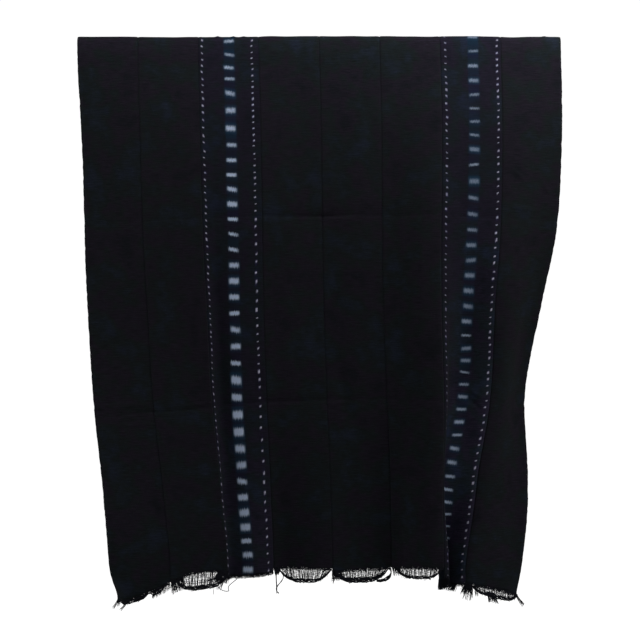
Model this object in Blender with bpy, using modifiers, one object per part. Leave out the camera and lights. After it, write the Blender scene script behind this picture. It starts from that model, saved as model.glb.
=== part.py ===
"""A strip-woven indigo cotton cloth, hanging over a bar that is not part of it.

Eight loom-width strips are sewn edge to edge. Each is one thin closed sheet that falls down the back, turns over
the unseen bar and falls down the front, with the soft folds, the one vertical pleat and the two pressed creases of
the cloth. Below each strip hangs its frayed end: bare warp threads, scalloped cords of slack weft, and tufts.

Every piece is cut flat first and then hung. In the flat, X is the distance across the cloth from its left edge,
Y is minus the distance along the warp from the crest, and Z is the height above the middle of the cloth.
Hung, +X is to the right, +Y goes away from the viewer, +Z is up, and the crest of the turn is at the origin.
"""

import functools
import math
import random

import bmesh
import bpy
import numpy as np
from mathutils import Vector

# Driving sizes, in metres
STRIP_WIDTH = 0.131
STRIP_COUNT = 8
CLOTH_WIDTH = STRIP_WIDTH * STRIP_COUNT
THICKNESS = 0.0015
GAP = 0.0003
BAR_RADIUS = 0.012
BACK_LENGTH = 0.425

# The turn over the bar, measured on the middle of the cloth
TURN_RADIUS = BAR_RADIUS + THICKNESS / 2
TURN_LENGTH = TURN_RADIUS * math.pi / 2

# Heights below the crest at which the tables give the shape
LEVELS = (0.0, 0.20, 0.39, 0.57, 0.80, 0.97, 1.14, 1.22)

# Where the middle seam hangs at each level: how far right of the centre, and how far back
MIDDLE_RIGHT = (0.0, 0.0042, 0.0068, 0.0098, 0.0175, 0.0245, 0.0290, 0.0290)
MIDDLE_BACK = (0.0, 0.002, 0.004, 0.008, 0.008, 0.008, 0.008, 0.008)

# Folds: name, place across, reach to each side, then the turn in degrees at each level
FOLDS = (
    ("left corner", 0.000, 0.060, 0, 0, 0, 0, 0, 0, -6, -72),
    ("left edge", 0.060, 0.110, 0, -11, -14, -9, -8, -4, 4, 4),
    ("second strip", 0.190, 0.080, 0, -7, -10, -10, -10, -12, -12, -12),
    ("step at the second seam", 0.273, 0.032, 0, 12, 26, 52, 72, 94, 104, 104),
    ("third strip", 0.375, 0.060, 0, 8, 16, 18, 16, 24, 40, 40),
    ("fourth strip", 0.470, 0.090, 0, 7, 12, 8, 0, -8, -14, -14),
    ("fifth strip", 0.570, 0.100, 0, -7, -12, -14, -6, 6, 12, 12),
    ("sixth strip", 0.705, 0.090, 0, -12, -23, -28, -32, -42, -48, -48),
    ("pleat at the sixth seam", 0.808, 0.042, 0, 10, 24, 50, 86, 127, 20, 0),
    ("pleat at the frayed end", 0.824, 0.042, 0, 0, 0, 0, 0, 0, 130, 150),
    ("seventh strip", 0.895, 0.060, 0, -2, -6, -28, -16, -22, -52, -52),
    ("right edge", 0.990, 0.105, 0, 7, 18, 44, 64, 34, 20, 16),
    ("right corner", 1.048, 0.050, 0, 0, 0, 0, 0, 0, 4, 54),
)

# Pressed creases: name, height below the crest at the left edge, middle and right edge
CREASES = {
    "upper": (0.412, 0.390, 0.404),
    "lower": (0.828, 0.789, 0.802),
}

# Relief of the creases: crease, place across, reach to each side, depth (a hollow is positive)
CREASE_RELIEF = (
    ("upper", 0.50, 0.95, 0.0016),
    ("upper", 0.50, 0.17, 0.0034),
    ("lower", 0.48, 0.95, 0.0016),
    ("lower", 0.17, 0.15, 0.0028),
    ("lower", 0.44, 0.16, 0.0030),
)
CREASE_HALF_HEIGHT = 0.010

# Soft hollows that run down the cloth: top and bottom height below the crest, place across at each, half width, depth
HOLLOWS = (
    (0.70, 0.86, 0.545, 0.580, 0.016, 0.0045),
    (0.88, 1.20, 0.560, 0.575, 0.022, 0.0045),
    (0.10, 0.38, 0.515, 0.520, 0.040, -0.0040),
    (0.45, 0.85, 0.120, 0.105, 0.060, 0.0050),
    (0.86, 1.18, 0.180, 0.200, 0.055, -0.0050),
)

# Woven length from the crest to the frayed end at each strip's left edge, middle and right edge
FRAYED_END = (
    (1.227, 1.213, 1.184),
    (1.184, 1.159, 1.161),
    (1.173, 1.1715, 1.169),
    (1.163, 1.162, 1.163),
    (1.167, 1.165, 1.163),
    (1.162, 1.155, 1.152),
    (1.168, 1.188, 1.186),
    (1.186, 1.199, 1.219),
)
SHORTEST_END = 1.150

# Fringe: the backing is the narrow heading that the threads hang from
BACKING_HEIGHT = 0.0040
ROOT_DEPTH = 0.0028
THREAD_RADIUS = 0.00062
CORD_END_SHARE = 0.55
WARP_LIFT = 0.00017
TUFT_LIFT = 0.00006
WELD = 1e-6
SEED = 11

# Scalloped cords: strip, start and end across the strip, sag, how flat the bottom is (2 is a parabola), radius
CORDS = (
    (1, 0.014, 0.118, 0.0105, 10, 0.0024),
    (2, 0.010, 0.1255, 0.0350, 3, 0.0028),
    (2, 0.086, 0.1275, 0.0440, 2, 0.0010),
    (4, 0.020, 0.128, 0.0290, 3, 0.0019),
    (5, 0.004, 0.128, 0.0270, 5, 0.0022),
    (6, 0.003, 0.128, 0.0225, 3, 0.0017),
    (8, 0.014, 0.125, 0.0165, 4, 0.0024),
)

# Bare warp threads between the backing and the cord: strip, first and last place across, number
BARE_WARPS = (
    (1, 0.022, 0.110, 14),
    (2, 0.022, 0.114, 10),
    (4, 0.034, 0.116, 9),
    (5, 0.016, 0.116, 9),
    (6, 0.018, 0.116, 8),
    (8, 0.026, 0.116, 10),
)

# Hanging threads: strip, first and last root across, number, length, sideways shift of the first and the last tip
TUFTS = (
    (1, 0.004, 0.011, 3, 0.018, -0.007, 0.006),
    (1, 0.1215, 0.1285, 4, 0.026, -0.010, 0.003),
    (2, 0.0025, 0.0075, 3, 0.036, 0.004, 0.012),
    (2, 0.1170, 0.1200, 2, 0.030, -0.012, -0.008),
    (3, 0.0035, 0.1275, 24, 0.007, 0.000, 0.000),
    (4, 0.0030, 0.0130, 5, 0.054, 0.002, 0.012),
    (5, 0.0100, 0.0125, 2, 0.022, -0.002, 0.001),
    (6, 0.0085, 0.0140, 3, 0.030, -0.003, 0.000),
    (7, 0.0040, 0.1265, 15, 0.020, -0.003, 0.004),
    (8, 0.0030, 0.0100, 4, 0.034, -0.003, 0.003),
    (8, 0.0185, 0.0235, 3, 0.028, 0.000, 0.004),
    (8, 0.1265, 0.1285, 2, 0.026, 0.008, 0.014),
)

# Finish: colour (linear), roughness
FINISHES = {
    "indigo_cotton": ((0.0070, 0.0080, 0.0120), 0.92),
    "tie_dyed_cotton": ((0.0085, 0.0110, 0.0260), 0.90),
    "frayed_yarn": ((0.0080, 0.0090, 0.0130), 0.95),
}
TIE_DYED_STRIPS = (3, 7)

SAMPLE = 0.001
SECTION_STEP = 0.010
ACROSS = np.arange(0.0, CLOTH_WIDTH + SAMPLE / 2, SAMPLE)


def smooth(places, values, at):
    """A smooth curve through the values that starts and ends level."""
    places = np.asarray(places, float)
    values = np.asarray(values, float)
    slopes = np.gradient(values, places)
    slopes[0] = slopes[-1] = 0.0
    left = int(np.clip(np.searchsorted(places, at) - 1, 0, len(places) - 2))
    width = places[left + 1] - places[left]
    t = min(max((at - places[left]) / width, 0.0), 1.0)
    start = (1 + 2 * t) * (1 - t) ** 2 * values[left] + t * (1 - t) ** 2 * width * slopes[left]
    end = t * t * (3 - 2 * t) * values[left + 1] + t * t * (t - 1) * width * slopes[left + 1]
    return start + end


def through_three(values, share):
    """A parabola through three values, at shares 0, 0.5 and 1."""
    first, middle, last = values
    return first * (1 - share) * (1 - 2 * share) + middle * 4 * share * (1 - share) + last * share * (2 * share - 1)


def swell(distance, reach):
    """1 at no distance, falling smoothly to 0 at the reach."""
    return (1 + np.cos(np.pi * np.clip(np.abs(distance) / reach, 0, 1))) / 2


def heading(across, level):
    """The angle in radians by which the cloth has turned out of its hanging plane."""
    total = np.zeros_like(across)
    for _, place, reach, *turns in FOLDS:
        total += math.radians(smooth(LEVELS, turns, level)) * swell(across - place, reach)
    return total


@functools.lru_cache(maxsize=None)
def section(step):
    """The cloth's line across at one height: x and y at every sample."""
    level = step * SECTION_STEP
    angle = heading(ACROSS, level)
    middle = len(ACROSS) // 2
    line = []
    for part in (np.cos(angle), np.sin(angle)):
        run = np.concatenate(([0.0], np.cumsum((part[1:] + part[:-1]) / 2 * SAMPLE)))
        line.append(run - run[middle])
    return line[0] + smooth(LEVELS, MIDDLE_RIGHT, level), line[1] + smooth(LEVELS, MIDDLE_BACK, level)


def crease_height(name, across):
    return through_three(CREASES[name], across / CLOTH_WIDTH)


def relief(across, drop):
    """How far the pressed creases and soft hollows push the cloth back at this place."""
    depth = 0.0
    for name, place, reach, deep in CREASE_RELIEF:
        away = abs(drop - crease_height(name, across)) / CREASE_HALF_HEIGHT
        depth += deep * swell(across - place, reach) * math.exp(-away)
    for top, bottom, top_across, bottom_across, half_width, deep in HOLLOWS:
        share = min(max((drop - top) / (bottom - top), -0.5), 1.5)
        centre = top_across + (bottom_across - top_across) * share
        along = swell(share - 0.5, 0.85)
        depth += deep * along * math.exp(-(((across - centre) / half_width) ** 2))
    return depth


def hung_middle(across, along):
    """Where a point of the cloth's middle layer hangs. The distance along the warp is negative down the back."""
    side = 1 if along >= 0 else -1
    length = abs(along)
    if length < TURN_LENGTH:
        angle = length / TURN_RADIUS
        drop = TURN_RADIUS * (1 - math.cos(angle))
        back = -side * TURN_RADIUS * math.sin(angle)
    else:
        drop = TURN_RADIUS + length - TURN_LENGTH
        back = -side * TURN_RADIUS
    above = int(drop / SECTION_STEP)
    share = drop / SECTION_STEP - above
    places = []
    for axis in (0, 1):
        upper = np.interp(across, ACROSS, section(above)[axis])
        lower = np.interp(across, ACROSS, section(above + 1)[axis])
        places.append(upper * (1 - share) + lower * share)
    if side > 0:
        back += relief(across, drop)
    return Vector((places[0], places[1] + back, -THICKNESS / 2 - drop))


def hang(flat):
    """Moves a point of the flat cloth to where it hangs."""
    across, along, lift = flat.x, -flat.y, flat.z
    reach = SAMPLE / 2
    inside = min(max(across, reach), CLOTH_WIDTH - reach)
    right = hung_middle(inside + reach, along) - hung_middle(inside - reach, along)
    down = hung_middle(inside, along + reach) - hung_middle(inside, along - reach)
    outward = down.cross(right).normalized()
    return hung_middle(inside, along) + right.normalized() * (across - inside) + outward * lift


def hang_between(flat, columns):
    """Hangs a point on the straight line between its two columns, as the faces of the sheet run."""
    right = min(max(int(np.searchsorted(columns, flat.x)), 1), len(columns) - 1)
    near, far = columns[right - 1], columns[right]
    share = (flat.x - near) / (far - near)
    first = hang(Vector((near, flat.y, flat.z)))
    second = hang(Vector((far, flat.y, flat.z)))
    return first + (second - first) * share


def frayed_end(strip, across_strip):
    """Length from the crest to the frayed end."""
    return through_three(FRAYED_END[strip - 1], across_strip / STRIP_WIDTH)


def column_places(first, last):
    """Places across the cloth, close together where it turns sharply."""
    widest, most_turn = 0.032, math.radians(33)
    across = np.linspace(first, last, 200)
    bend = np.max([np.abs(np.gradient(heading(across, level), across)) for level in LEVELS], axis=0)
    crowd = 1 / widest + bend / most_turn
    count = np.concatenate(([0.0], np.cumsum((crowd[1:] + crowd[:-1]) / 2 * np.diff(across))))
    columns = max(4, math.ceil(count[-1]))
    return np.interp(np.linspace(0, count[-1], columns + 1), count, across)


def row_lengths(strip, across):
    """Lengths along the warp of one column's rows, from the back hem to the frayed end.

    All but the last are the same on both sides of a seam, so that the two strips keep their gap.
    """
    fall_start = TURN_LENGTH
    turn_steps = 6
    to_length = TURN_LENGTH - TURN_RADIUS
    upper = crease_height("upper", across) + to_length
    lower = crease_height("lower", across) + to_length
    end = frayed_end(strip, across - (strip - 1) * STRIP_WIDTH)
    shares = (0.04, 0.15, 0.36, 0.58, 0.80, 0.96, 1.0)
    rows = [-BACK_LENGTH, -0.32, -0.21, -0.10]
    rows += [fall_start * (2 * k / turn_steps - 1) for k in range(turn_steps + 1)]
    for start, stop in ((fall_start, upper), (upper, lower), (lower, SHORTEST_END)):
        rows += [start + (stop - start) * share for share in shares]
    return rows + [end]


def material(name):
    """The plain finish of one kind of piece."""
    found = bpy.data.materials.get(name)
    if found:
        return found
    made = bpy.data.materials.new(name)
    made.use_nodes = True
    colour, roughness = FINISHES[name]
    shader = made.node_tree.nodes["Principled BSDF"]
    shader.inputs["Base Color"].default_value = (*colour, 1.0)
    shader.inputs["Roughness"].default_value = roughness
    shader.inputs["Metallic"].default_value = 0.0
    return made


def mesh_object(name, mesh, collection):
    made = bpy.data.objects.new(name, mesh)
    collection.objects.link(made)
    return made


def plain_mesh(source, name):
    """The object as its modifiers leave it, as a mesh. The object itself is removed."""
    bpy.context.view_layer.update()
    graph = bpy.context.evaluated_depsgraph_get()
    mesh = bpy.data.meshes.new_from_object(source.evaluated_get(graph), depsgraph=graph)
    mesh.name = name
    bpy.data.objects.remove(source)
    return mesh


def weld_caps(mesh):
    """Joins a curve's loose caps to its sides."""
    bm = bmesh.new()
    bm.from_mesh(mesh)
    bmesh.ops.remove_doubles(bm, verts=bm.verts, dist=WELD)
    bm.to_mesh(mesh)
    bm.free()
    return mesh


def flat_sheet(name, columns, rows_of, collection):
    """A flat closed sheet: a grid whose columns and rows are moved to their places, with its thickness."""
    row_count = len(rows_of(columns[0]))
    bm = bmesh.new()
    bmesh.ops.create_grid(bm, x_segments=len(columns) - 1, y_segments=row_count - 1, size=0.5)
    for point in bm.verts:
        column = round((point.co.x + 0.5) * (len(columns) - 1))
        row = round((0.5 - point.co.y) * (row_count - 1))
        point.co = (columns[column], -rows_of(columns[column])[row], 0)
    mesh = bpy.data.meshes.new(name)
    bm.to_mesh(mesh)
    bm.free()
    sheet = mesh_object(name, mesh, collection)
    thick = sheet.modifiers.new("thickness", "SOLIDIFY")
    thick.thickness = THICKNESS
    thick.offset = 0
    return sheet


def hang_piece(flat, name, columns, finish, collection):
    """Hangs a flat piece: every point goes to its place, and the faces keep their outer side."""
    mesh = plain_mesh(flat, name)
    for point in mesh.vertices:
        point.co = hang_between(point.co, columns)
    mesh.materials.clear()
    mesh.materials.append(material(finish))
    mesh.shade_smooth()
    mesh.set_sharp_from_angle(angle=math.radians(50))
    return mesh_object(name, mesh, collection)


def make_strip(strip, collection):
    left = (strip - 1) * STRIP_WIDTH
    columns = column_places(left + GAP / 2, left + STRIP_WIDTH - GAP / 2)
    flat = flat_sheet(f"strip_{strip}", columns, lambda across: row_lengths(strip, across), collection)
    finish = "tie_dyed_cotton" if strip in TIE_DYED_STRIPS else "indigo_cotton"
    return hang_piece(flat, f"strip_{strip}", columns, finish, collection)


def cord_below(row, across_strip):
    """How far a scalloped cord hangs below the frayed end, at a place across its strip."""
    _, start, end, sag, flatness, _ = row
    share = (across_strip - start) / (end - start)
    return ROOT_DEPTH + (sag - ROOT_DEPTH) * (1 - abs(2 * share - 1) ** flatness)


def cord_paths(strip):
    """Each cord's points: place across the strip, depth below its end, lift, radius. The ends are thinner."""
    paths = []
    for row in CORDS:
        if row[0] != strip:
            continue
        _, start, end, _, _, radius = row
        steps = 10
        path = []
        for k in range(steps + 1):
            share = k / steps
            place = start + (end - start) * share
            thin = CORD_END_SHARE + (1 - CORD_END_SHARE) * math.sin(math.pi * share)
            path.append((place, cord_below(row, place), 0.0, radius * thin))
        paths.append(path)
    return paths


def warp_paths(strip, chance):
    """Bare warp threads from the backing down to the cord."""
    paths = []
    cord = next((row for row in CORDS if row[0] == strip), None)
    for owner, first, last, number in BARE_WARPS:
        if owner != strip:
            continue
        pitch = (last - first) / (number - 1)
        for k in range(number):
            root = first + pitch * k
            foot = root + chance.uniform(-0.22, 0.22) * pitch
            lift = WARP_LIFT if k % 2 else -WARP_LIFT
            start = (root, ROOT_DEPTH, lift, THREAD_RADIUS)
            paths.append([start, (foot, cord_below(cord, foot), lift, THREAD_RADIUS)])
    return paths


def tuft_paths(strip, chance):
    """Threads that hang free, a little apart and splayed out of the cloth's plane."""
    paths = []
    for owner, first, last, number, length, first_shift, last_shift in TUFTS:
        if owner != strip:
            continue
        for k in range(number):
            share = k / (number - 1)
            root = first + (last - first) * share
            shift = first_shift + (last_shift - first_shift) * share
            reach = length * chance.uniform(0.78, 1.0)
            lift = (0.0024 if k % 2 else -0.0012) * min(1.0, length / 0.02)
            start = (root, ROOT_DEPTH, TUFT_LIFT, THREAD_RADIUS)
            middle = (root + shift * 0.35, ROOT_DEPTH + reach * 0.5, lift * 0.6, THREAD_RADIUS)
            tip = (root + shift, ROOT_DEPTH + reach, lift, THREAD_RADIUS)
            paths.append([start, middle, tip])
    return paths


def threads(name, strip, paths, collection):
    """Square threads along paths in the flat, as one closed mesh each."""
    left = (strip - 1) * STRIP_WIDTH
    curve = bpy.data.curves.new(name, "CURVE")
    curve.dimensions = "3D"
    curve.bevel_depth = 1.0
    curve.bevel_resolution = 0
    curve.use_fill_caps = True
    for path in paths:
        spline = curve.splines.new("POLY")
        spline.points.add(len(path) - 1)
        for point, (place, below, lift, radius) in zip(spline.points, path):
            point.co = (left + place, -(frayed_end(strip, place) + below), lift, 1.0)
            point.radius = radius
    source = bpy.data.objects.new(name, curve)
    collection.objects.link(source)
    return mesh_object(name, weld_caps(plain_mesh(source, name)), collection)


def make_fringe(strip, collection):
    """The frayed end of one strip, fused to a narrow backing just below the last woven row."""
    name = f"fringe_{strip}"
    chance = random.Random(SEED + strip)
    left = (strip - 1) * STRIP_WIDTH
    columns = column_places(left + GAP / 2, left + STRIP_WIDTH - GAP / 2)

    def rows_of(across):
        end = frayed_end(strip, across - left)
        return [end + GAP, end + BACKING_HEIGHT]

    backing = flat_sheet(f"{name}_flat", columns, rows_of, collection)
    groups = (
        ("cords", cord_paths(strip)),
        ("warps", warp_paths(strip, chance)),
        ("tufts", tuft_paths(strip, chance)),
    )
    joined = []
    for kind, paths in groups:
        if not paths:
            continue
        piece = threads(f"{name}_{kind}", strip, paths, collection)
        union = backing.modifiers.new(kind, "BOOLEAN")
        union.operation = "UNION"
        union.solver = "EXACT"
        union.object = piece
        joined.append(piece)
    made = hang_piece(backing, name, columns, "frayed_yarn", collection)
    for piece in joined:
        bpy.data.objects.remove(piece)
    return made


def main():
    for old in list(bpy.data.objects):
        bpy.data.objects.remove(old)
    cloth = bpy.data.collections.new("hanging_indigo_cloth")
    bpy.context.scene.collection.children.link(cloth)
    for strip in range(1, STRIP_COUNT + 1):
        make_strip(strip, cloth)
        make_fringe(strip, cloth)


main()
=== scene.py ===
# %% [markdown]
# # An indigo cloth of eight strips, hanging over a bar
# The real cloth is cotton, woven in narrow strips on a treadle loom. The strips are sewn edge to edge and the
# ends of the warp are left to fray. This lesson dresses its plain solids: every strip is hung again as a much
# finer sheet, then come the seams, the frayed yarns, the finishes, the light and the camera.
# The frame is loaded first. It holds the solids.

# %% Load the frame
import math

import bmesh
import bpy
import numpy as np
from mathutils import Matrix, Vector


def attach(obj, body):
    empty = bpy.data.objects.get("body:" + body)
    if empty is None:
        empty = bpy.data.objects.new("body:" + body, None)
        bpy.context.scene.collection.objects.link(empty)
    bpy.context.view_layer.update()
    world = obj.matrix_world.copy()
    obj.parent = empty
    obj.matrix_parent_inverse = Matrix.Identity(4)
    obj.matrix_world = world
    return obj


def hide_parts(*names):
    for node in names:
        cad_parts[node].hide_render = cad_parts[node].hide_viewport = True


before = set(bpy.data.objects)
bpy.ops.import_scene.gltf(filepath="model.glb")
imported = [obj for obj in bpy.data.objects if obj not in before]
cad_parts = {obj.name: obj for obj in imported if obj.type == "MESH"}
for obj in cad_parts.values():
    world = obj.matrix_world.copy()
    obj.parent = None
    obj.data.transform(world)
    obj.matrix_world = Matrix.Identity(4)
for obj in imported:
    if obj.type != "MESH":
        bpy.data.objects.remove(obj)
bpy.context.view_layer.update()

# %% [markdown]
# ## Sizes
# A maker would measure the loom width, the number of strips and the length of each fall. The shape in which the
# cloth hangs is a few short tables: how far it has turned out of its plane at each fold, at eight heights. They
# are the same tables as the solids were made from, so the fine cloth lies exactly where the solids are.

# %% Sizes in metres
STRIP_WIDTH = 0.131
STRIP_COUNT = 8
CLOTH_WIDTH = STRIP_WIDTH * STRIP_COUNT
SOLID_THICKNESS = 0.0015
CLOTH_THICKNESS = 0.0009
SELVEDGE_LAP = 0.0003
TURN_RADIUS = 0.012 + SOLID_THICKNESS / 2
TURN_LENGTH = TURN_RADIUS * math.pi / 2
BACK_LENGTH = 0.425
SHORTEST_END = 1.150
STRIPS = range(1, STRIP_COUNT + 1)
print("cloth", round(CLOTH_WIDTH, 3), "m wide, turned over a radius of", round(TURN_RADIUS * 1000, 2), "mm")

# %% Tables of the hang
LEVELS = (0.0, 0.20, 0.39, 0.57, 0.80, 0.97, 1.14, 1.22)
MIDDLE_RIGHT = (0.0, 0.0042, 0.0068, 0.0098, 0.0175, 0.0245, 0.0290, 0.0290)
MIDDLE_BACK = (0.0, 0.002, 0.004, 0.008, 0.008, 0.008, 0.008, 0.008)

# Folds: name, place across, reach to each side, then the turn in degrees at each level
FOLDS = (
    ("left corner", 0.000, 0.060, 0, 0, 0, 0, 0, 0, -6, -72),
    ("left edge", 0.060, 0.110, 0, -11, -14, -9, -8, -4, 4, 4),
    ("second strip", 0.190, 0.080, 0, -7, -10, -10, -10, -12, -12, -12),
    ("step at the second seam", 0.273, 0.032, 0, 12, 26, 52, 72, 94, 104, 104),
    ("third strip", 0.375, 0.060, 0, 8, 16, 18, 16, 24, 40, 40),
    ("fourth strip", 0.470, 0.090, 0, 7, 12, 8, 0, -8, -14, -14),
    ("fifth strip", 0.570, 0.100, 0, -7, -12, -14, -6, 6, 12, 12),
    ("sixth strip", 0.705, 0.090, 0, -12, -23, -28, -32, -42, -48, -48),
    ("pleat at the sixth seam", 0.808, 0.042, 0, 10, 24, 50, 86, 127, 20, 0),
    ("pleat at the frayed end", 0.824, 0.042, 0, 0, 0, 0, 0, 0, 130, 150),
    ("seventh strip", 0.895, 0.060, 0, -2, -6, -28, -16, -22, -52, -52),
    ("right edge", 0.990, 0.105, 0, 7, 18, 44, 64, 34, 20, 16),
    ("right corner", 1.048, 0.050, 0, 0, 0, 0, 0, 0, 4, 54),
)

# Pressed creases: height below the crest at the left edge, middle and right edge
CREASES = {"upper": (0.412, 0.390, 0.404), "lower": (0.828, 0.789, 0.802)}

# Relief of the creases: crease, place across, reach to each side, depth (a hollow is positive)
CREASE_RELIEF = (
    ("upper", 0.50, 0.95, 0.0016),
    ("upper", 0.50, 0.17, 0.0034),
    ("lower", 0.48, 0.95, 0.0016),
    ("lower", 0.17, 0.15, 0.0028),
    ("lower", 0.44, 0.16, 0.0030),
)
CREASE_HALF_HEIGHT = 0.010

# Soft hollows: top and bottom height below the crest, place across at each, half width, depth
HOLLOWS = (
    (0.70, 0.86, 0.545, 0.580, 0.016, 0.0045),
    (0.88, 1.20, 0.560, 0.575, 0.022, 0.0045),
    (0.10, 0.38, 0.515, 0.520, 0.040, -0.0040),
    (0.45, 0.85, 0.120, 0.105, 0.060, 0.0050),
    (0.86, 1.18, 0.180, 0.200, 0.055, -0.0050),
)

# Woven length from the crest to the frayed end at each strip's left edge, middle and right edge
FRAYED_END = (
    (1.227, 1.213, 1.184),
    (1.184, 1.159, 1.161),
    (1.173, 1.1715, 1.169),
    (1.163, 1.162, 1.163),
    (1.167, 1.165, 1.163),
    (1.162, 1.155, 1.152),
    (1.168, 1.188, 1.186),
    (1.186, 1.199, 1.219),
)
print(len(FOLDS), "folds,", len(CREASE_RELIEF) + len(HOLLOWS), "creases and hollows")

# %% [markdown]
# ## The hanging shape
# Cloth bends easily and hardly stretches. So the shape is built as a real length of cloth: at every height the
# line across is walked along with a turning angle, which keeps its true width in every fold. NumPy does this for
# all points at once, where a loop over points would take minutes.

# %% Curves between table values
def smooth(places, values, at):
    """A smooth curve through the values that starts and ends level."""
    places, values, at = (np.asarray(given, float) for given in (places, values, at))
    slopes = np.gradient(values, places)
    slopes[0] = slopes[-1] = 0.0
    left = np.clip(np.searchsorted(places, at) - 1, 0, len(places) - 2)
    width = places[left + 1] - places[left]
    t = np.clip((at - places[left]) / width, 0, 1)
    start = (1 + 2 * t) * (1 - t) ** 2 * values[left] + t * (1 - t) ** 2 * width * slopes[left]
    end = t * t * (3 - 2 * t) * values[left + 1] + t * t * (t - 1) * width * slopes[left + 1]
    return start + end


def through_three(values, share):
    """A parabola through three values, at shares 0, 0.5 and 1."""
    first, middle, last = values
    return first * (1 - share) * (1 - 2 * share) + middle * 4 * share * (1 - share) + last * share * (2 * share - 1)


def swell(distance, reach):
    """1 at no distance, falling smoothly to 0 at the reach."""
    return (1 + np.cos(np.pi * np.clip(np.abs(distance) / reach, 0, 1))) / 2


def frayed_end(strip, across_strip):
    """Length from the crest to the frayed end."""
    return through_three(FRAYED_END[strip - 1], across_strip / STRIP_WIDTH)


print("turn at the pleat, 1 m down:", round(float(smooth(LEVELS, FOLDS[8][3:], 1.0)), 1), "degrees")

# %% Lines across the cloth, one every 5 mm down
SAMPLE = 0.001
LEVEL_STEP = 0.005
across_line = np.arange(0.0, CLOTH_WIDTH + SAMPLE / 2, SAMPLE)
level_line = np.arange(0.0, 1.33, LEVEL_STEP)


def lines_across():
    """x and y of the cloth's middle, by level and place across."""
    angle = np.zeros((len(level_line), len(across_line)))
    for _, place, reach, *turns in FOLDS:
        angle += np.outer(np.radians(smooth(LEVELS, turns, level_line)), swell(across_line - place, reach))
    lines = []
    for part, middle in ((np.cos(angle), MIDDLE_RIGHT), (np.sin(angle), MIDDLE_BACK)):
        steps = (part[:, 1:] + part[:, :-1]) / 2 * SAMPLE
        run = np.concatenate((np.zeros((len(level_line), 1)), np.cumsum(steps, axis=1)), axis=1)
        run -= run[:, len(across_line) // 2][:, None]
        lines.append(run + smooth(LEVELS, middle, level_line)[:, None])
    return lines


LINE_X, LINE_Y = lines_across()
print("width seen at 1 m down:", round(float(LINE_X[200, -1] - LINE_X[200, 0]), 3), "m of", round(CLOTH_WIDTH, 3))

# %% Where a point of the cloth hangs
def look_up(table, across, drop):
    """The table's value at a place across and a height below the crest."""
    row = np.clip(drop / LEVEL_STEP, 0, len(level_line) - 1.001)
    column = np.clip(across / SAMPLE, 0, len(across_line) - 1.001)
    i, j = row.astype(int), column.astype(int)
    up, right = row - i, column - j
    upper = table[i, j] * (1 - right) + table[i, j + 1] * right
    lower = table[i + 1, j] * (1 - right) + table[i + 1, j + 1] * right
    return upper * (1 - up) + lower * up


def relief(across, drop):
    """How far the pressed creases and soft hollows push the cloth back."""
    depth = np.zeros_like(drop)
    for name, place, reach, deep in CREASE_RELIEF:
        height = through_three(CREASES[name], across / CLOTH_WIDTH)
        depth += deep * swell(across - place, reach) * np.exp(-np.abs(drop - height) / CREASE_HALF_HEIGHT)
    for top, bottom, top_across, bottom_across, half_width, deep in HOLLOWS:
        share = np.clip((drop - top) / (bottom - top), -0.5, 1.5)
        centre = top_across + (bottom_across - top_across) * share
        depth += deep * swell(share - 0.5, 0.85) * np.exp(-(((across - centre) / half_width) ** 2))
    return depth


def hung_middle(across, along):
    """Where the cloth's middle layer hangs. The length along the warp is negative down the back."""
    side = np.where(along >= 0, 1.0, -1.0)
    angle = np.minimum(np.abs(along), TURN_LENGTH) / TURN_RADIUS
    drop = TURN_RADIUS * (1 - np.cos(angle)) + np.maximum(np.abs(along) - TURN_LENGTH, 0)
    back = -side * TURN_RADIUS * np.sin(angle) + np.where(side > 0, relief(across, drop), 0.0)
    x = look_up(LINE_X, across, drop)
    y = look_up(LINE_Y, across, drop) + back
    return np.stack((x, y, -SOLID_THICKNESS / 2 - drop), axis=-1)


def unit(vectors):
    return vectors / np.linalg.norm(vectors, axis=-1, keepdims=True)


def outward_at(across, along):
    """The direction out of the cloth, and the direction to the right along it."""
    reach = SAMPLE / 2
    inside = np.clip(across, reach, CLOTH_WIDTH - reach)
    right = unit(hung_middle(inside + reach, along) - hung_middle(inside - reach, along))
    down = hung_middle(inside, along + reach) - hung_middle(inside, along - reach)
    return unit(np.cross(down, right)), right


def hang(across, along, lift):
    """Moves points of the flat cloth to where they hang, lifted out of its middle layer."""
    across, along, lift = np.broadcast_arrays(*(np.asarray(given, float) for given in (across, along, lift)))
    inside = np.clip(across, SAMPLE / 2, CLOTH_WIDTH - SAMPLE / 2)
    outward, right = outward_at(inside, along)
    return hung_middle(inside, along) + right * (across - inside)[..., None] + outward * lift[..., None]


print("crest at", [round(float(v), 4) for v in hang(CLOTH_WIDTH / 2, 0.0, 0.0)])

# %% [markdown]
# ## Small creases
# Handwoven cotton that was stored folded is never flat between its folds. These are low: the sharp lip of each
# pressed crease, a few short wrinkles where the hand can find them, the seams that draw in a little, the lumps on
# the crest, and a soft unevenness all over. Each is a lift out of the cloth, added before it is hung.

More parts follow.
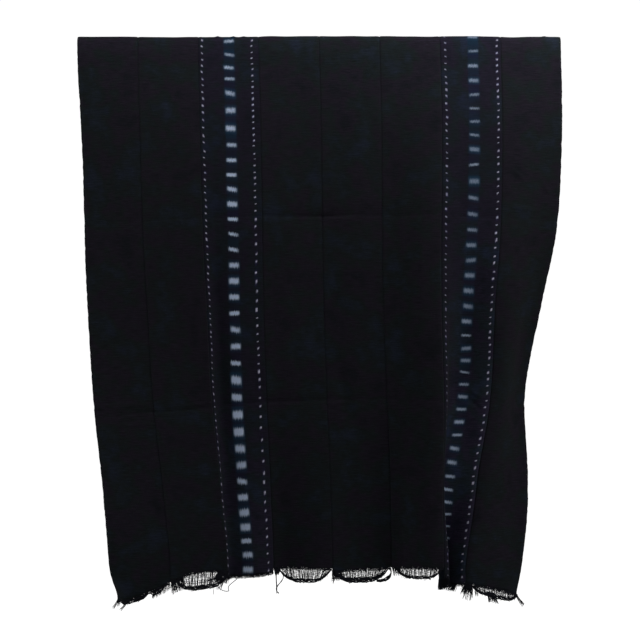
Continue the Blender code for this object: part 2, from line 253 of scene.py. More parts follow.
# %% Tables of the small creases
# Wrinkles: place across and height below the crest of one end, then of the other, half width, lift
WRINKLES = (
    (0.004, 0.806, 0.150, 0.793, 0.0030, 0.0022),
    (0.160, 0.802, 0.262, 0.794, 0.0028, 0.0018),
    (0.045, 0.846, 0.125, 0.836, 0.0035, 0.0014),
    (0.866, 0.762, 0.905, 0.787, 0.0035, 0.0018),
    (0.866, 0.785, 0.905, 0.812, 0.0035, -0.0020),
    (0.935, 0.292, 0.972, 0.318, 0.0040, 0.0016),
    (0.930, 0.372, 0.998, 0.382, 0.0040, 0.0014),
    (1.006, 0.322, 1.030, 0.345, 0.0040, 0.0012),
    (0.424, 0.245, 0.470, 0.268, 0.0030, 0.0010),
    (0.430, 0.243, 0.482, 0.226, 0.0030, 0.0009),
    (0.440, 0.332, 0.470, 0.345, 0.0060, -0.0012),
    (0.520, 0.400, 0.640, 0.396, 0.0100, 0.0016),
    (0.540, 0.500, 0.600, 0.520, 0.0080, 0.0008),
    (0.700, 0.600, 0.780, 0.618, 0.0070, 0.0010),
    (0.020, 0.110, 0.120, 0.104, 0.0050, 0.0009),
)

# Lumps on the crest: place across, length along the warp, half width, height
LUMPS = (
    (0.263, 0.000, 0.006, 0.0008),
    (0.304, 0.002, 0.004, 0.0020),
    (0.338, 0.001, 0.004, 0.0018),
    (0.360, 0.000, 0.005, 0.0015),
    (0.785, 0.003, 0.012, 0.0008),
    (1.013, 0.001, 0.005, 0.0014),
)
print(len(WRINKLES), "wrinkles,", len(LUMPS), "lumps on the crest")

# %% Lift of the small creases
def soft_noise(across, along, cell_across, cell_along, seed):
    """Smooth random heights from -1 to 1, one for each cell of this size."""
    table = np.random.default_rng(seed).uniform(-1, 1, (97, 97))
    a, b = np.asarray(across) / cell_across, np.asarray(along) / cell_along
    i, j = np.floor(a).astype(int), np.floor(b).astype(int)
    s, t = a - i, b - j
    s, t = s * s * (3 - 2 * s), t * t * (3 - 2 * t)
    near = table[i % 97, j % 97] * (1 - s) + table[(i + 1) % 97, j % 97] * s
    far = table[i % 97, (j + 1) % 97] * (1 - s) + table[(i + 1) % 97, (j + 1) % 97] * s
    return near * (1 - t) + far * t


def wrinkle_lift(across, drop):
    lift = np.zeros_like(drop)
    for left, left_drop, right, right_drop, half_width, high in WRINKLES:
        run = np.array((right - left, right_drop - left_drop))
        length = np.hypot(*run)
        share = ((across - left) * run[0] + (drop - left_drop) * run[1]) / length**2
        away = ((drop - left_drop) * run[0] - (across - left) * run[1]) / length
        away = away + 0.0012 * soft_noise(across, drop, 0.018, 0.05, 5)
        lift += high * swell(share - 0.5, 0.62) * np.exp(-((away / half_width) ** 2))
    return lift


def crease_lip(across, drop):
    """The sharp hollow of a pressed crease and the small ridge just under it."""
    lift = np.zeros_like(drop)
    for name, place, reach, deep in CREASE_RELIEF:
        height = through_three(CREASES[name], across / CLOTH_WIDTH) + 0.0016 * soft_noise(across, 0, 0.05, 1, 3)
        strength = deep * swell(across - place, reach) * (0.75 + 0.35 * soft_noise(across, 0, 0.08, 1, 4))
        below = drop - height
        ridge = 0.45 * np.exp(-(((below - 0.0055) / 0.0026) ** 2))
        lift += strength * (ridge - 0.30 * np.exp(-((below / 0.0024) ** 2)))
    return lift


def seam_lift(across, along):
    """The sewing draws each seam in, and the cloth puckers beside it."""
    away = np.abs(across - STRIP_WIDTH * np.round(across / STRIP_WIDTH))
    pucker = soft_noise(np.round(across / STRIP_WIDTH), along, 1, 0.013, 7) * 0.00035
    return -0.0007 * np.exp(-((away / 0.0028) ** 2)) + pucker * np.exp(-((away / 0.011) ** 2))


def small_creases(across, along):
    """All the low relief at a place, as a lift out of the cloth."""
    drop = np.abs(along) - TURN_LENGTH + TURN_RADIUS
    front = np.clip(along / 0.03, 0, 1)
    lift = seam_lift(across, along)
    lift += 0.0011 * soft_noise(across, along, 0.085, 0.150, 1) + 0.0005 * soft_noise(across, along, 0.035, 0.040, 2)
    lift += front * (wrinkle_lift(across, drop) + crease_lip(across, drop))
    for place, length, half_width, high in LUMPS:
        lift += high * np.exp(-(((across - place) / half_width) ** 2) - ((along - length) / 0.012) ** 2)
    return lift


def selvedge_turn(strip, across):
    """Both selvedges of a strip turn in at the seam, so the joint is a thin groove and nothing shows through."""
    right = STRIP_WIDTH * strip - across
    left = across - STRIP_WIDTH * (strip - 1)
    turn = np.exp(-((left / 0.0012) ** 2)) * (strip > 1) + np.exp(-((right / 0.0012) ** 2)) * (strip < STRIP_COUNT)
    return -0.0009 * turn - 0.0001 * np.exp(-((left / 0.0012) ** 2))


def edge_wander(across, along):
    """How far the two outer selvedges stray from a straight line."""
    out = 0.0007 * soft_noise(along, 0, 0.009, 1, 8) + 0.0008 * soft_noise(along, 0, 0.031, 1, 9)
    left = np.exp(-(across / 0.006))
    right = np.exp(-((CLOTH_WIDTH - across) / 0.006))
    return -np.abs(out) * right + np.abs(out) * left


print("lift on the upper crease:", round(float(small_creases(np.array(0.5), np.array(0.397))) * 1000, 2), "mm")

# %% [markdown]
# ## The eight strips
# Each strip is one sheet: a grid of points cut to the loom width, from the hem of the back fall to the frayed end,
# and then hung. The rows lie close together on the front, where folds and wrinkles show. A UV map in metres goes
# with it, so that weave and dye follow the yarns through every fold. In that map each strip starts one whole
# metre further along, so no two strips share a patch of dye.

# %% A hung grid as a mesh
COLUMNS = 44


def row_lengths(strip, across):
    """Lengths along the warp of the rows of each column."""
    end = frayed_end(strip, across - (strip - 1) * STRIP_WIDTH)
    shared = np.concatenate((
        np.linspace(-BACK_LENGTH, -TURN_LENGTH, 30, endpoint=False),
        np.linspace(-TURN_LENGTH, TURN_LENGTH, 18, endpoint=False),
        np.linspace(TURN_LENGTH, SHORTEST_END, 300),
    ))
    last = [SHORTEST_END + (end - SHORTEST_END) * share for share in np.linspace(0, 1, 9)[1:]]
    return np.concatenate((np.repeat(shared[:, None], len(across), axis=1), last))


def grid_mesh(name, points, lengths, wide):
    """A mesh of rows and columns, with the flat cloth's metres as its UV map."""
    rows, columns = points.shape[:2]
    index = np.arange(rows * columns).reshape(rows, columns)
    corners = (index[:-1, :-1], index[1:, :-1], index[1:, 1:], index[:-1, 1:])
    faces = np.stack(corners, axis=-1).reshape(-1, 4)
    mesh = bpy.data.meshes.new(name)
    mesh.from_pydata(points.reshape(-1, 3).tolist(), [], faces.tolist())
    flat = np.stack(np.broadcast_arrays(wide[None, :], lengths), axis=-1).reshape(-1, 2)
    mesh.uv_layers.new(name="flat cloth").data.foreach_set("uv", flat[faces.reshape(-1)].astype(np.float32).ravel())
    mesh.polygons.foreach_set("use_smooth", np.ones(len(faces), bool))
    mesh.update()
    return mesh


def hang_strip(strip):
    left = (strip - 1) * STRIP_WIDTH
    beside = np.array((-SELVEDGE_LAP, 0.0006, 0.0014, 0.0026))
    middle = np.linspace(0.004, STRIP_WIDTH - 0.004, COLUMNS - 7)
    across = left + np.concatenate((beside, middle, STRIP_WIDTH - beside[::-1]))
    lengths = row_lengths(strip, across)
    lengths[-1] += 0.0012 * soft_noise(across, 0, 0.006, 1, strip)
    wide = np.broadcast_to(across[None, :], lengths.shape)
    moved = wide + edge_wander(wide, lengths)
    points = hang(moved, lengths, small_creases(wide, lengths) + selvedge_turn(strip, wide))
    mesh = grid_mesh(f"cloth_{strip}", points, lengths, across - left + strip)
    made = bpy.data.objects.new(f"cloth_{strip}", mesh)
    bpy.context.scene.collection.objects.link(made)
    return made


cloth = {strip: hang_strip(strip) for strip in STRIPS}
print("faces a strip:", len(cloth[1].data.polygons))

# %% [markdown]
# ## Thickness
# A Solidify modifier gives each sheet the thickness of a heavy handwoven cotton, equally to both sides of the
# middle layer, where the solids are too.

# %% Thickness of the cloth
for made in cloth.values():
    thick = made.modifiers.new("thickness", "SOLIDIFY")
    thick.thickness = CLOTH_THICKNESS
    thick.offset = 0
print("cloth", CLOTH_THICKNESS * 1000, "mm thick")

# %% [markdown]
# ## Adding nodes
# Shaders and Geometry Nodes are both trees of nodes. One small function adds a node to either kind of tree, sets
# its options, and fills each input with a number, or with the node or socket that feeds it.

# %% One helper for every node
def add(tree, kind, inputs=None, **settings):
    """Adds a node. Each input is named, or numbered, and gets a value, a socket, or a node's first output."""
    made = tree.nodes.new(kind)
    for name, value in settings.items():
        setattr(made, name, value)
    for key, value in (inputs or {}).items():
        if isinstance(value, bpy.types.Node):
            value = next(socket for socket in value.outputs if socket.enabled)
        if isinstance(value, bpy.types.NodeSocket):
            tree.links.new(value, made.inputs[key])
        else:
            made.inputs[key].default_value = value
    return made


def linear(colour):
    """A colour written as sRGB hex, such as 1A1C20, as linear values with alpha."""
    parts = [int(colour[k : k + 2], 16) / 255 for k in (0, 2, 4)]
    return tuple(p / 12.92 if p <= 0.04045 else ((p + 0.055) / 1.055) ** 2.4 for p in parts) + (1.0,)


print("night blue as linear:", [round(v, 4) for v in linear("1A1C20")])

# %% [markdown]
# ## Resist marks
# Before weaving, small bundles of warp yarn are tied tightly at even steps, and the hank is dipped in indigo. Under
# the tie the yarn stays pale. Opened and woven, each tie is a short pale dash whose ends feather along the warp,
# with a haze where dye crept in. A shader group draws one row of such marks. It counts the marks along the warp and
# gives each its own random size, slant and paleness.

# %% A group that draws one row of tied marks
def tied_row_group():
    tree = bpy.data.node_groups.new("row of tied marks", "ShaderNodeTree")
    for name in ("Across", "Along", "Count", "Centre", "Pitch", "Half width", "Half height", "Slant", "Cells", "Seed"):
        tree.interface.new_socket(name, in_out="INPUT", socket_type="NodeSocketFloat")
    for name in ("Mark", "Haze"):
        tree.interface.new_socket(name, in_out="OUTPUT", socket_type="NodeSocketFloat")
    given = tree.nodes.new("NodeGroupInput").outputs
    number = add(tree, "ShaderNodeMath", {0: given["Count"]}, operation="FLOOR")
    share = add(tree, "ShaderNodeMath", {0: given["Count"]}, operation="FRACT")
    key = add(tree, "ShaderNodeCombineXYZ", {0: number, 1: given["Seed"]})
    chance = add(tree, "ShaderNodeTexWhiteNoise", {"Vector": key}, noise_dimensions="2D")
    own = add(tree, "ShaderNodeSeparateColor", {0: chance.outputs["Color"]})
    size, tilt, place = own.outputs
    # Distance across, from the row's middle, with a small stray
    stray = add(tree, "ShaderNodeMath", {0: place, 1: 0.002, 2: -0.001}, operation="MULTIPLY_ADD")
    offset = add(tree, "ShaderNodeMath", {0: given["Across"], 1: given["Centre"]}, operation="SUBTRACT")
    aside = add(tree, "ShaderNodeMath", {0: offset, 1: stray}, operation="ADD")
    # Distance along, slanted, with each warp yarn shifted a little of its own
    middle = add(tree, "ShaderNodeMath", {0: share, 1: 0.5}, operation="SUBTRACT")
    metres = add(tree, "ShaderNodeMath", {0: middle, 1: given["Pitch"]}, operation="MULTIPLY")
    lean = add(tree, "ShaderNodeMath", {0: tilt, 1: 0.30, 2: -0.15}, operation="MULTIPLY_ADD")
    lean = add(tree, "ShaderNodeMath", {0: lean, 1: given["Slant"]}, operation="ADD")
    slanted = add(tree, "ShaderNodeMath", {0: aside, 1: lean, 2: metres}, operation="MULTIPLY_ADD")
    yarn = add(tree, "ShaderNodeMath", {0: given["Across"], 1: 620.0}, operation="MULTIPLY")
    yarn_key = add(tree, "ShaderNodeCombineXYZ", {0: yarn, 1: number, 2: given["Seed"]})
    feather = add(tree, "ShaderNodeTexNoise", {"Vector": yarn_key, "Scale": 1.0, "Detail": 1.0})
    slip = add(tree, "ShaderNodeMath", {0: feather, 1: 0.5}, operation="SUBTRACT")
    slip = add(tree, "ShaderNodeMath", {0: slip, 1: given["Half height"]}, operation="MULTIPLY")
    lengthwise = add(tree, "ShaderNodeMath", {0: slip, 1: 2.6, 2: slanted}, operation="MULTIPLY_ADD")
    # Both distances as shares of the mark's half size
    grown = add(tree, "ShaderNodeMath", {0: size, 1: 0.6, 2: 0.7}, operation="MULTIPLY_ADD")
    tall = add(tree, "ShaderNodeMath", {0: given["Half height"], 1: grown}, operation="MULTIPLY")
    far_y = add(tree, "ShaderNodeMath", {0: lengthwise, 1: tall}, operation="DIVIDE")
    far_x = add(tree, "ShaderNodeMath", {0: aside, 1: given["Half width"]}, operation="DIVIDE")
    far_y = add(tree, "ShaderNodeMath", {0: far_y}, operation="ABSOLUTE")
    far_x = add(tree, "ShaderNodeMath", {0: far_x}, operation="ABSOLUTE")
    reach = {"interpolation_type": "SMOOTHSTEP"}
    mark_y = add(tree, "ShaderNodeMapRange", {0: far_y, 1: 1.45, 2: 0.25}, **reach)
    mark_x = add(tree, "ShaderNodeMapRange", {0: far_x, 1: 1.20, 2: 0.60}, **reach)
    haze_y = add(tree, "ShaderNodeMapRange", {0: far_y, 1: 3.0, 2: 0.6}, **reach)
    haze_x = add(tree, "ShaderNodeMapRange", {0: far_x, 1: 1.5, 2: 0.7}, **reach)
    # Weft yarns cross the mark and dim it in small cells
    cell_key = add(tree, "ShaderNodeCombineXYZ", {0: given["Across"], 1: given["Along"]})
    cells = add(tree, "ShaderNodeTexNoise", {"Vector": cell_key, "Scale": 300.0, "Detail": 2.0})
    dim = add(tree, "ShaderNodeMapRange", {0: cells, 1: 0.62, 2: 0.36, 3: 0.0, 4: given["Cells"]})
    dim = add(tree, "ShaderNodeMath", {0: 1.0, 1: dim}, operation="SUBTRACT")
    pale = add(tree, "ShaderNodeMapRange", {0: place, 3: 0.68, 4: 1.0})
    # One side of a mark is often paler than the other
    side = add(tree, "ShaderNodeMath", {0: aside, 1: given["Half width"]}, operation="DIVIDE")
    side = add(tree, "ShaderNodeMath", {0: side, 1: lean}, operation="MULTIPLY")
    side = add(tree, "ShaderNodeMath", {0: side, 1: 2.2, 2: 0.95}, operation="MULTIPLY_ADD", use_clamp=True)
    pale = add(tree, "ShaderNodeMath", {0: pale, 1: side}, operation="MULTIPLY")
    mark = add(tree, "ShaderNodeMath", {0: mark_x, 1: mark_y}, operation="MULTIPLY")
    mark = add(tree, "ShaderNodeMath", {0: mark, 1: dim}, operation="MULTIPLY")
    mark = add(tree, "ShaderNodeMath", {0: mark, 1: pale}, operation="MULTIPLY")
    haze = add(tree, "ShaderNodeMath", {0: haze_x, 1: haze_y}, operation="MULTIPLY")
    haze = add(tree, "ShaderNodeMath", {0: haze, 1: size}, operation="MULTIPLY")
    haze = add(tree, "ShaderNodeMath", {0: haze, 1: 0.75}, operation="MULTIPLY")
    add(tree, "NodeGroupOutput", {"Mark": mark, "Haze": haze})
    return tree


TIED_ROW = tied_row_group()
print("row of tied marks:", len(TIED_ROW.nodes), "nodes")

# %% [markdown]
# ## Indigo cotton
# Handspun cotton dipped many times in indigo is nearly black, with a blue or plum cast that changes from pick to
# pick, and it scatters light with almost no gloss. What the eye finds is the weft: thick and thin places run
# across the strip as short dark and light streaks. The ground is one shader group, so that plain strips and tied
# strips share the same dye bath.

# %% A group for the dyed ground
GROUND_SHADES = (("12141A", 0.32), ("1B1721", 0.44), ("141A1B", 0.54), ("191F2B", 0.68))


def indigo_ground_group():
    tree = bpy.data.node_groups.new("indigo ground", "ShaderNodeTree")
    for name in ("Across", "Along"):
        tree.interface.new_socket(name, in_out="INPUT", socket_type="NodeSocketFloat")
    tree.interface.new_socket("Colour", in_out="OUTPUT", socket_type="NodeSocketColor")
    tree.interface.new_socket("Height", in_out="OUTPUT", socket_type="NodeSocketFloat")
    given = tree.nodes.new("NodeGroupInput").outputs
    flat = add(tree, "ShaderNodeCombineXYZ", {0: given["Across"], 1: given["Along"]})
    patches = add(tree, "ShaderNodeTexNoise", {"Vector": flat, "Scale": 14.0, "Detail": 4.0, "Roughness": 0.62})
    shade = add(tree, "ShaderNodeValToRGB", {0: patches})
    ramp = shade.color_ramp.elements
    while len(ramp) < len(GROUND_SHADES):
        ramp.new(0.5)
    for stop, (colour, at) in zip(ramp, GROUND_SHADES):
        stop.position = at
        stop.color = linear(colour)
    # Thick and thin weft: 22 mm long, 2 mm high, as coarse as the picture can show
    stretched = add(tree, "ShaderNodeVectorMath", {0: flat, 1: (45.0, 480.0, 1.0)}, operation="MULTIPLY")
    slubs = add(tree, "ShaderNodeTexNoise", {"Vector": stretched, "Scale": 1.0, "Detail": 3.0, "Roughness": 0.6})
    streak = add(tree, "ShaderNodeMapRange", {0: slubs, 1: 0.28, 2: 0.74, 3: 0.56, 4: 1.50})
    fine = add(tree, "ShaderNodeVectorMath", {0: flat, 1: (190.0, 900.0, 1.0)}, operation="MULTIPLY")
    flecks = add(tree, "ShaderNodeTexNoise", {"Vector": fine, "Scale": 1.0, "Detail": 1.0})
    fleck = add(tree, "ShaderNodeMapRange", {0: flecks, 1: 0.62, 2: 0.80, 3: 1.0, 4: 1.9})
    light = add(tree, "ShaderNodeMath", {0: streak, 1: fleck}, operation="MULTIPLY")
    # Painted light: the ground is painted lighter near the bar, for the light falling from above
    far = add(tree, "ShaderNodeMath", {0: given["Along"]}, operation="ABSOLUTE")
    soft = {"interpolation_type": "SMOOTHSTEP"}
    painted_top_light = add(tree, "ShaderNodeMapRange", {0: far, 1: 0.0, 2: 0.30, 3: 1.22, 4: 1.0}, **soft)
    light = add(tree, "ShaderNodeMath", {0: light, 1: painted_top_light}, operation="MULTIPLY")
    # Painted highlight: a narrow band on the crest is painted 1.35 times lighter, for the light from above
    painted_crest_highlight = add(tree, "ShaderNodeMapRange", {0: far, 1: 0.01, 2: 0.06, 3: 1.35, 4: 1.0}, **soft)
    light = add(tree, "ShaderNodeMath", {0: light, 1: painted_crest_highlight}, operation="MULTIPLY")
    coloured = add(tree, "ShaderNodeVectorMath", {0: shade, "Scale": light}, operation="SCALE")
    # Plain weave: the yarns pass over and under each other every 1.1 mm
    warp = add(tree, "ShaderNodeMath", {0: given["Across"], 1: math.pi / 0.0011}, operation="MULTIPLY")
    weft = add(tree, "ShaderNodeMath", {0: given["Along"], 1: math.pi / 0.0013}, operation="MULTIPLY")
    warp = add(tree, "ShaderNodeMath", {0: warp}, operation="SINE")
    weft = add(tree, "ShaderNodeMath", {0: weft}, operation="SINE")
    weave = add(tree, "ShaderNodeMath", {0: warp, 1: weft}, operation="MULTIPLY")
    height = add(tree, "ShaderNodeMath", {0: weave, 1: 0.12, 2: slubs}, operation="MULTIPLY_ADD")
    add(tree, "NodeGroupOutput", {"Colour": coloured, "Height": height})
    return tree


GROUND = indigo_ground_group()
print("indigo ground:", len(GROUND.nodes), "nodes")

# %% Plain indigo cotton
def new_material(name, roughness, sheen):
    made = bpy.data.materials.new(name)
    made.use_nodes = True
    shader = made.node_tree.nodes["Principled BSDF"]
    shader.inputs["Roughness"].default_value = roughness
    shader.inputs["Specular IOR Level"].default_value = 0.12
    shader.inputs["Sheen Weight"].default_value = sheen
    shader.inputs["Sheen Roughness"].default_value = 0.6
    return made, made.node_tree, shader


def flat_cloth(tree):
    """Metres across the strip from its left seam, metres along the warp, and the map itself."""
    at = add(tree, "ShaderNodeUVMap", uv_map="flat cloth")
    parts = add(tree, "ShaderNodeSeparateXYZ", {0: at})
    across = add(tree, "ShaderNodeMath", {0: parts.outputs["X"]}, operation="FRACT")
    return across.outputs[0], parts.outputs["Y"], parts.outputs["X"]


def indigo_cotton():
    made, tree, shader = new_material("indigo cotton", 0.9, 0.02)
    _, along, wide = flat_cloth(tree)
    ground = add(tree, "ShaderNodeGroup", {"Across": wide, "Along": along}, node_tree=GROUND)
    tree.links.new(ground.outputs["Colour"], shader.inputs["Base Color"])
    bump = add(tree, "ShaderNodeBump", {"Height": ground.outputs["Height"], "Strength": 0.5, "Distance": 0.0008})
    tree.links.new(bump.outputs[0], shader.inputs["Normal"])
    return made


INDIGO_COTTON = indigo_cotton()
print("made", INDIGO_COTTON.name)

# %% [markdown]
# ## Tie-dyed warp
# The third and the seventh strip carry a row of wide dashes between two rows of dots. The steps between the
# dashes aren't even, so a Float Curve turns the length along the warp into a running count of dashes, through
# a few places where they were counted. The yarns of the row took less dye than the ground, and show as a navy band.

# %% Where the marks are
# Count of dashes passed at each length along the warp, by strip
DASHES_PASSED = {
    3: ((-0.45, -13.9), (0.019, 0.5), (0.0488, 1.5), (0.0769, 2.5), (0.101, 3.5), (0.246, 7.5), (0.374, 11.5),
        (0.539, 16.5), (0.716, 21.5), (0.901, 26.5), (1.039, 30.5), (1.161, 34.5), (1.25, 37.0)),
    7: ((-0.45, -14.3), (0.009, 0.5), (0.137, 4.5), (0.256, 8.5), (0.396, 12.5), (0.527, 16.5), (0.656, 20.5),
        (0.762, 24.5), (0.872, 28.5), (0.991, 32.5), (1.123, 37.5), (1.25, 42.1)),
}
# Rows of dots: strip, place across near the bar and low down, slant, strength near the bar and at the frayed end
DOT_ROWS = (
    (3, 0.0085, 0.0032, -0.45, 1.00, 0.90),
    (3, 0.1160, 0.1160, 0.35, 1.05, 1.35),
    (7, 0.0107, 0.0107, -0.30, 0.85, 0.35),
    (7, 0.1224, 0.1224, 0.30, 0.85, 1.80),
)
# Count of dots passed at each length along the warp, by row
DOTS_PASSED = (
    ((-0.45, -31.5), (0.007, 0.5), (0.150, 10.5), (0.311, 20.5), (0.456, 30.5), (0.598, 40.5), (0.731, 50.5),
     (0.873, 60.5), (1.028, 70.5), (1.25, 84.8)),
    ((-0.45, -35.6), (0.009, 0.5), (0.136, 10.5), (0.267, 20.5), (0.410, 30.5), (0.606, 40.5), (0.776, 50.5),
     (1.004, 60.5), (1.154, 68.5), (1.25, 73.6)),
    ((-0.45, -30.8), (0.013, 0.5), (0.161, 10.5), (0.313, 20.5), (0.469, 30.5), (0.619, 40.5), (0.769, 50.5),
     (1.25, 82.6)),
    ((-0.45, -32.1), (0.007, 0.5), (0.147, 10.5), (0.293, 20.5), (0.458, 30.5), (0.621, 40.5), (0.770, 50.5),
     (0.932, 60.5), (1.098, 70.5), (1.25, 79.7)),
)
DASH_CENTRE = {3: 0.0670, 7: 0.0707}
DASH_END_HEIGHT = {3: 0.0064, 7: 0.0036}
# Strength of the dashes by strip: two lengths along the warp, and the strength at each
DASH_STRENGTH = {3: (0.0, 0.40, 0.95, 1.75), 7: (0.45, 1.10, 0.58, 1.50)}
# Lighter ground by strip, partly the tied yarn's real lighter dye and partly painted light: on strip 7 the strong
# lightening right of the pleat is painted light that fills the shade behind the pleat. Columns: where it starts and is
# full along the warp, the same across, and how much lighter
LIGHTER_DYE_AND_PAINTED_LIGHT = {3: (0.75, 1.05, -0.010, 0.0, 1.45), 7: (0.30, 0.95, 0.030, 0.055, 2.4)}
print("dashes on the front of strip 3:", round(DASHES_PASSED[3][-1][1]))

# %% Tie-dyed cotton
def running_count(tree, along, passed):
    """How many marks of a row have passed at each length along the warp, as a node."""
    (start, least), (end, most) = passed[0], passed[-1]
    share = add(tree, "ShaderNodeMapRange", {0: along, 1: start, 2: end})
    curve = add(tree, "ShaderNodeFloatCurve", {"Value": share})
    line = curve.mapping.curves[0]
    places = [((length - start) / (end - start), (count - least) / (most - least)) for length, count in passed]
    line.points[0].location, line.points[-1].location = places[0], places[-1]
    for place in places[1:-1]:
        line.points.new(*place)
    curve.mapping.update()
    return add(tree, "ShaderNodeMapRange", {0: curve, 3: least, 4: most})


def tie_dyed_cotton(strip):
    made, tree, shader = new_material(f"tie-dyed cotton, strip {strip}", 0.88, 0.02)
    across, along, wide = flat_cloth(tree)
    ground = add(tree, "ShaderNodeGroup", {"Across": wide, "Along": along}, node_tree=GROUND)
    # The hank with the ties had fewer dips at this end, so the lower ground is lighter and bluer. On strip 7 the much
    # stronger lightening right of the pleat is painted light, filling the shade behind the pleat
    start, full, first, last, lighter = LIGHTER_DYE_AND_PAINTED_LIGHT[strip]
    down = add(tree, "ShaderNodeMapRange", {0: along, 1: start, 2: full})
    beside = add(tree, "ShaderNodeMapRange", {0: across, 1: first, 2: last})
    dye_and_painted_light = add(tree, "ShaderNodeMath", {0: down, 1: beside}, operation="MULTIPLY")
    dye_and_painted_light = add(tree, "ShaderNodeMath", {0: dye_and_painted_light, 1: lighter - 1.0, 2: 1.0}, operation="MULTIPLY_ADD")
    ground_colour = add(tree, "ShaderNodeVectorMath", {0: ground, 1: (0.94, 0.96, 1.16)}, operation="MULTIPLY")
    ground_colour = add(tree, "ShaderNodeVectorMath", {0: ground_colour, "Scale": dye_and_painted_light}, operation="SCALE")
    # The band of lighter dyed yarns, stronger in some places than in others
    centre = DASH_CENTRE[strip]
    off = add(tree, "ShaderNodeMath", {0: across, 1: centre}, operation="SUBTRACT")
    off = add(tree, "ShaderNodeMath", {0: off}, operation="ABSOLUTE")
    band = add(tree, "ShaderNodeMapRange", {0: off, 1: 0.0135, 2: 0.0095}, interpolation_type="SMOOTHSTEP")
    patch = add(tree, "ShaderNodeTexNoise", {"W": along, "Scale": 34.0, "Detail": 1.0}, noise_dimensions="1D")
    patch = add(tree, "ShaderNodeMapRange", {0: patch, 1: 0.35, 2: 0.65, 3: 0.1, 4: 0.9})
    hue = add(tree, "ShaderNodeTexNoise", {"W": along, "Scale": 21.0, "Detail": 1.0}, noise_dimensions="1D")
    hue = add(tree, "ShaderNodeMapRange", {0: hue, 1: 0.42, 2: 0.58})
    mix = {"data_type": "RGBA"}
    dye = add(tree, "ShaderNodeMix", {0: hue, 6: linear("181838"), 7: linear("112A3E")}, **mix)
    band = add(tree, "ShaderNodeMath", {0: band, 1: patch}, operation="MULTIPLY")
    lower = add(tree, "ShaderNodeMapRange", {0: along, 1: 0.05, 2: 0.45, 3: 1.0, 4: 0.45})
    band = add(tree, "ShaderNodeMath", {0: band, 1: lower}, operation="MULTIPLY")
    colour = add(tree, "ShaderNodeMix", {0: band, 6: ground_colour, 7: dye}, **mix)
    count = running_count(tree, along, DASHES_PASSED[strip])
    row = {"Across": across, "Along": along, "Count": count, "Centre": centre, "Pitch": 0.032}
    tall = add(tree, "ShaderNodeMapRange", {0: along, 1: 0.1, 2: 1.1, 3: 0.0036, 4: DASH_END_HEIGHT[strip]})
    cells = add(tree, "ShaderNodeMapRange", {0: along, 1: 0.1, 2: 0.8, 3: 0.45, 4: 0.12})
    row.update({"Half width": 0.0108, "Half height": tall, "Slant": -0.05, "Cells": cells, "Seed": float(strip)})
    dashes = add(tree, "ShaderNodeGroup", row, node_tree=TIED_ROW).outputs
    colour = add(tree, "ShaderNodeMix", {0: dashes["Haze"], 6: colour, 7: linear("1F4460")}, **mix)
    start, full, above, below = DASH_STRENGTH[strip]
    strength = add(tree, "ShaderNodeMapRange", {0: along, 1: start, 2: full, 3: above, 4: below})
    mark = add(tree, "ShaderNodeMath", {0: dashes["Mark"], 1: strength}, operation="MULTIPLY", use_clamp=True)
    colour = add(tree, "ShaderNodeMix", {0: mark, 6: colour, 7: linear("C0D0EA")}, **mix)
    for number, (owner, place, lower_place, slant, above, below) in enumerate(DOT_ROWS):
        if owner != strip:
            continue
        (start, least), (end, most) = DOTS_PASSED[number][0], DOTS_PASSED[number][-1]
        pitch = (end - start) / (most - least)
        passed = running_count(tree, along, DOTS_PASSED[number])
        wobble = add(tree, "ShaderNodeTexNoise", {"W": along, "Scale": 55.0}, noise_dimensions="1D")
        passed = add(tree, "ShaderNodeMath", {0: wobble, 1: 0.6, 2: passed}, operation="MULTIPLY_ADD")
        centre = add(tree, "ShaderNodeMapRange", {0: along, 1: 0.80, 2: 1.02, 3: place, 4: lower_place})
        row = {"Across": across, "Along": along, "Count": passed, "Centre": centre, "Pitch": pitch}
        row.update({"Half width": 0.0025, "Half height": 0.0018, "Slant": slant, "Cells": 0.2, "Seed": number + 10.0})
        dots = add(tree, "ShaderNodeGroup", row, node_tree=TIED_ROW).outputs
        colour = add(tree, "ShaderNodeMix", {0: dots["Haze"], 6: colour, 7: linear("2A2550")}, **mix)
        strength = add(tree, "ShaderNodeMapRange", {0: along, 1: 0.1, 2: 1.1, 3: above, 4: below})
        mark = add(tree, "ShaderNodeMath", {0: dots["Mark"], 1: strength}, operation="MULTIPLY", use_clamp=True)
        colour = add(tree, "ShaderNodeMix", {0: mark, 6: colour, 7: linear("C8C6DC")}, **mix)
    tree.links.new(colour.outputs[2], shader.inputs["Base Color"])
    bump = add(tree, "ShaderNodeBump", {"Height": ground.outputs["Height"], "Strength": 0.5, "Distance": 0.0008})
    tree.links.new(bump.outputs[0], shader.inputs["Normal"])
    return made


TIE_DYED_COTTON = {strip: tie_dyed_cotton(strip) for strip in DASH_CENTRE}
for strip, made in cloth.items():
    made.data.materials.append(TIE_DYED_COTTON.get(strip, INDIGO_COTTON))
print("tie-dyed strips:", list(TIE_DYED_COTTON))

# %% [markdown]
# ## Frayed yarn
# The same dyed cotton, but as single yarns: they are rounder and fluffier, so they catch more light at their edges.
# The colour varies from yarn to yarn by object coordinates, because a bare thread has no cloth map.

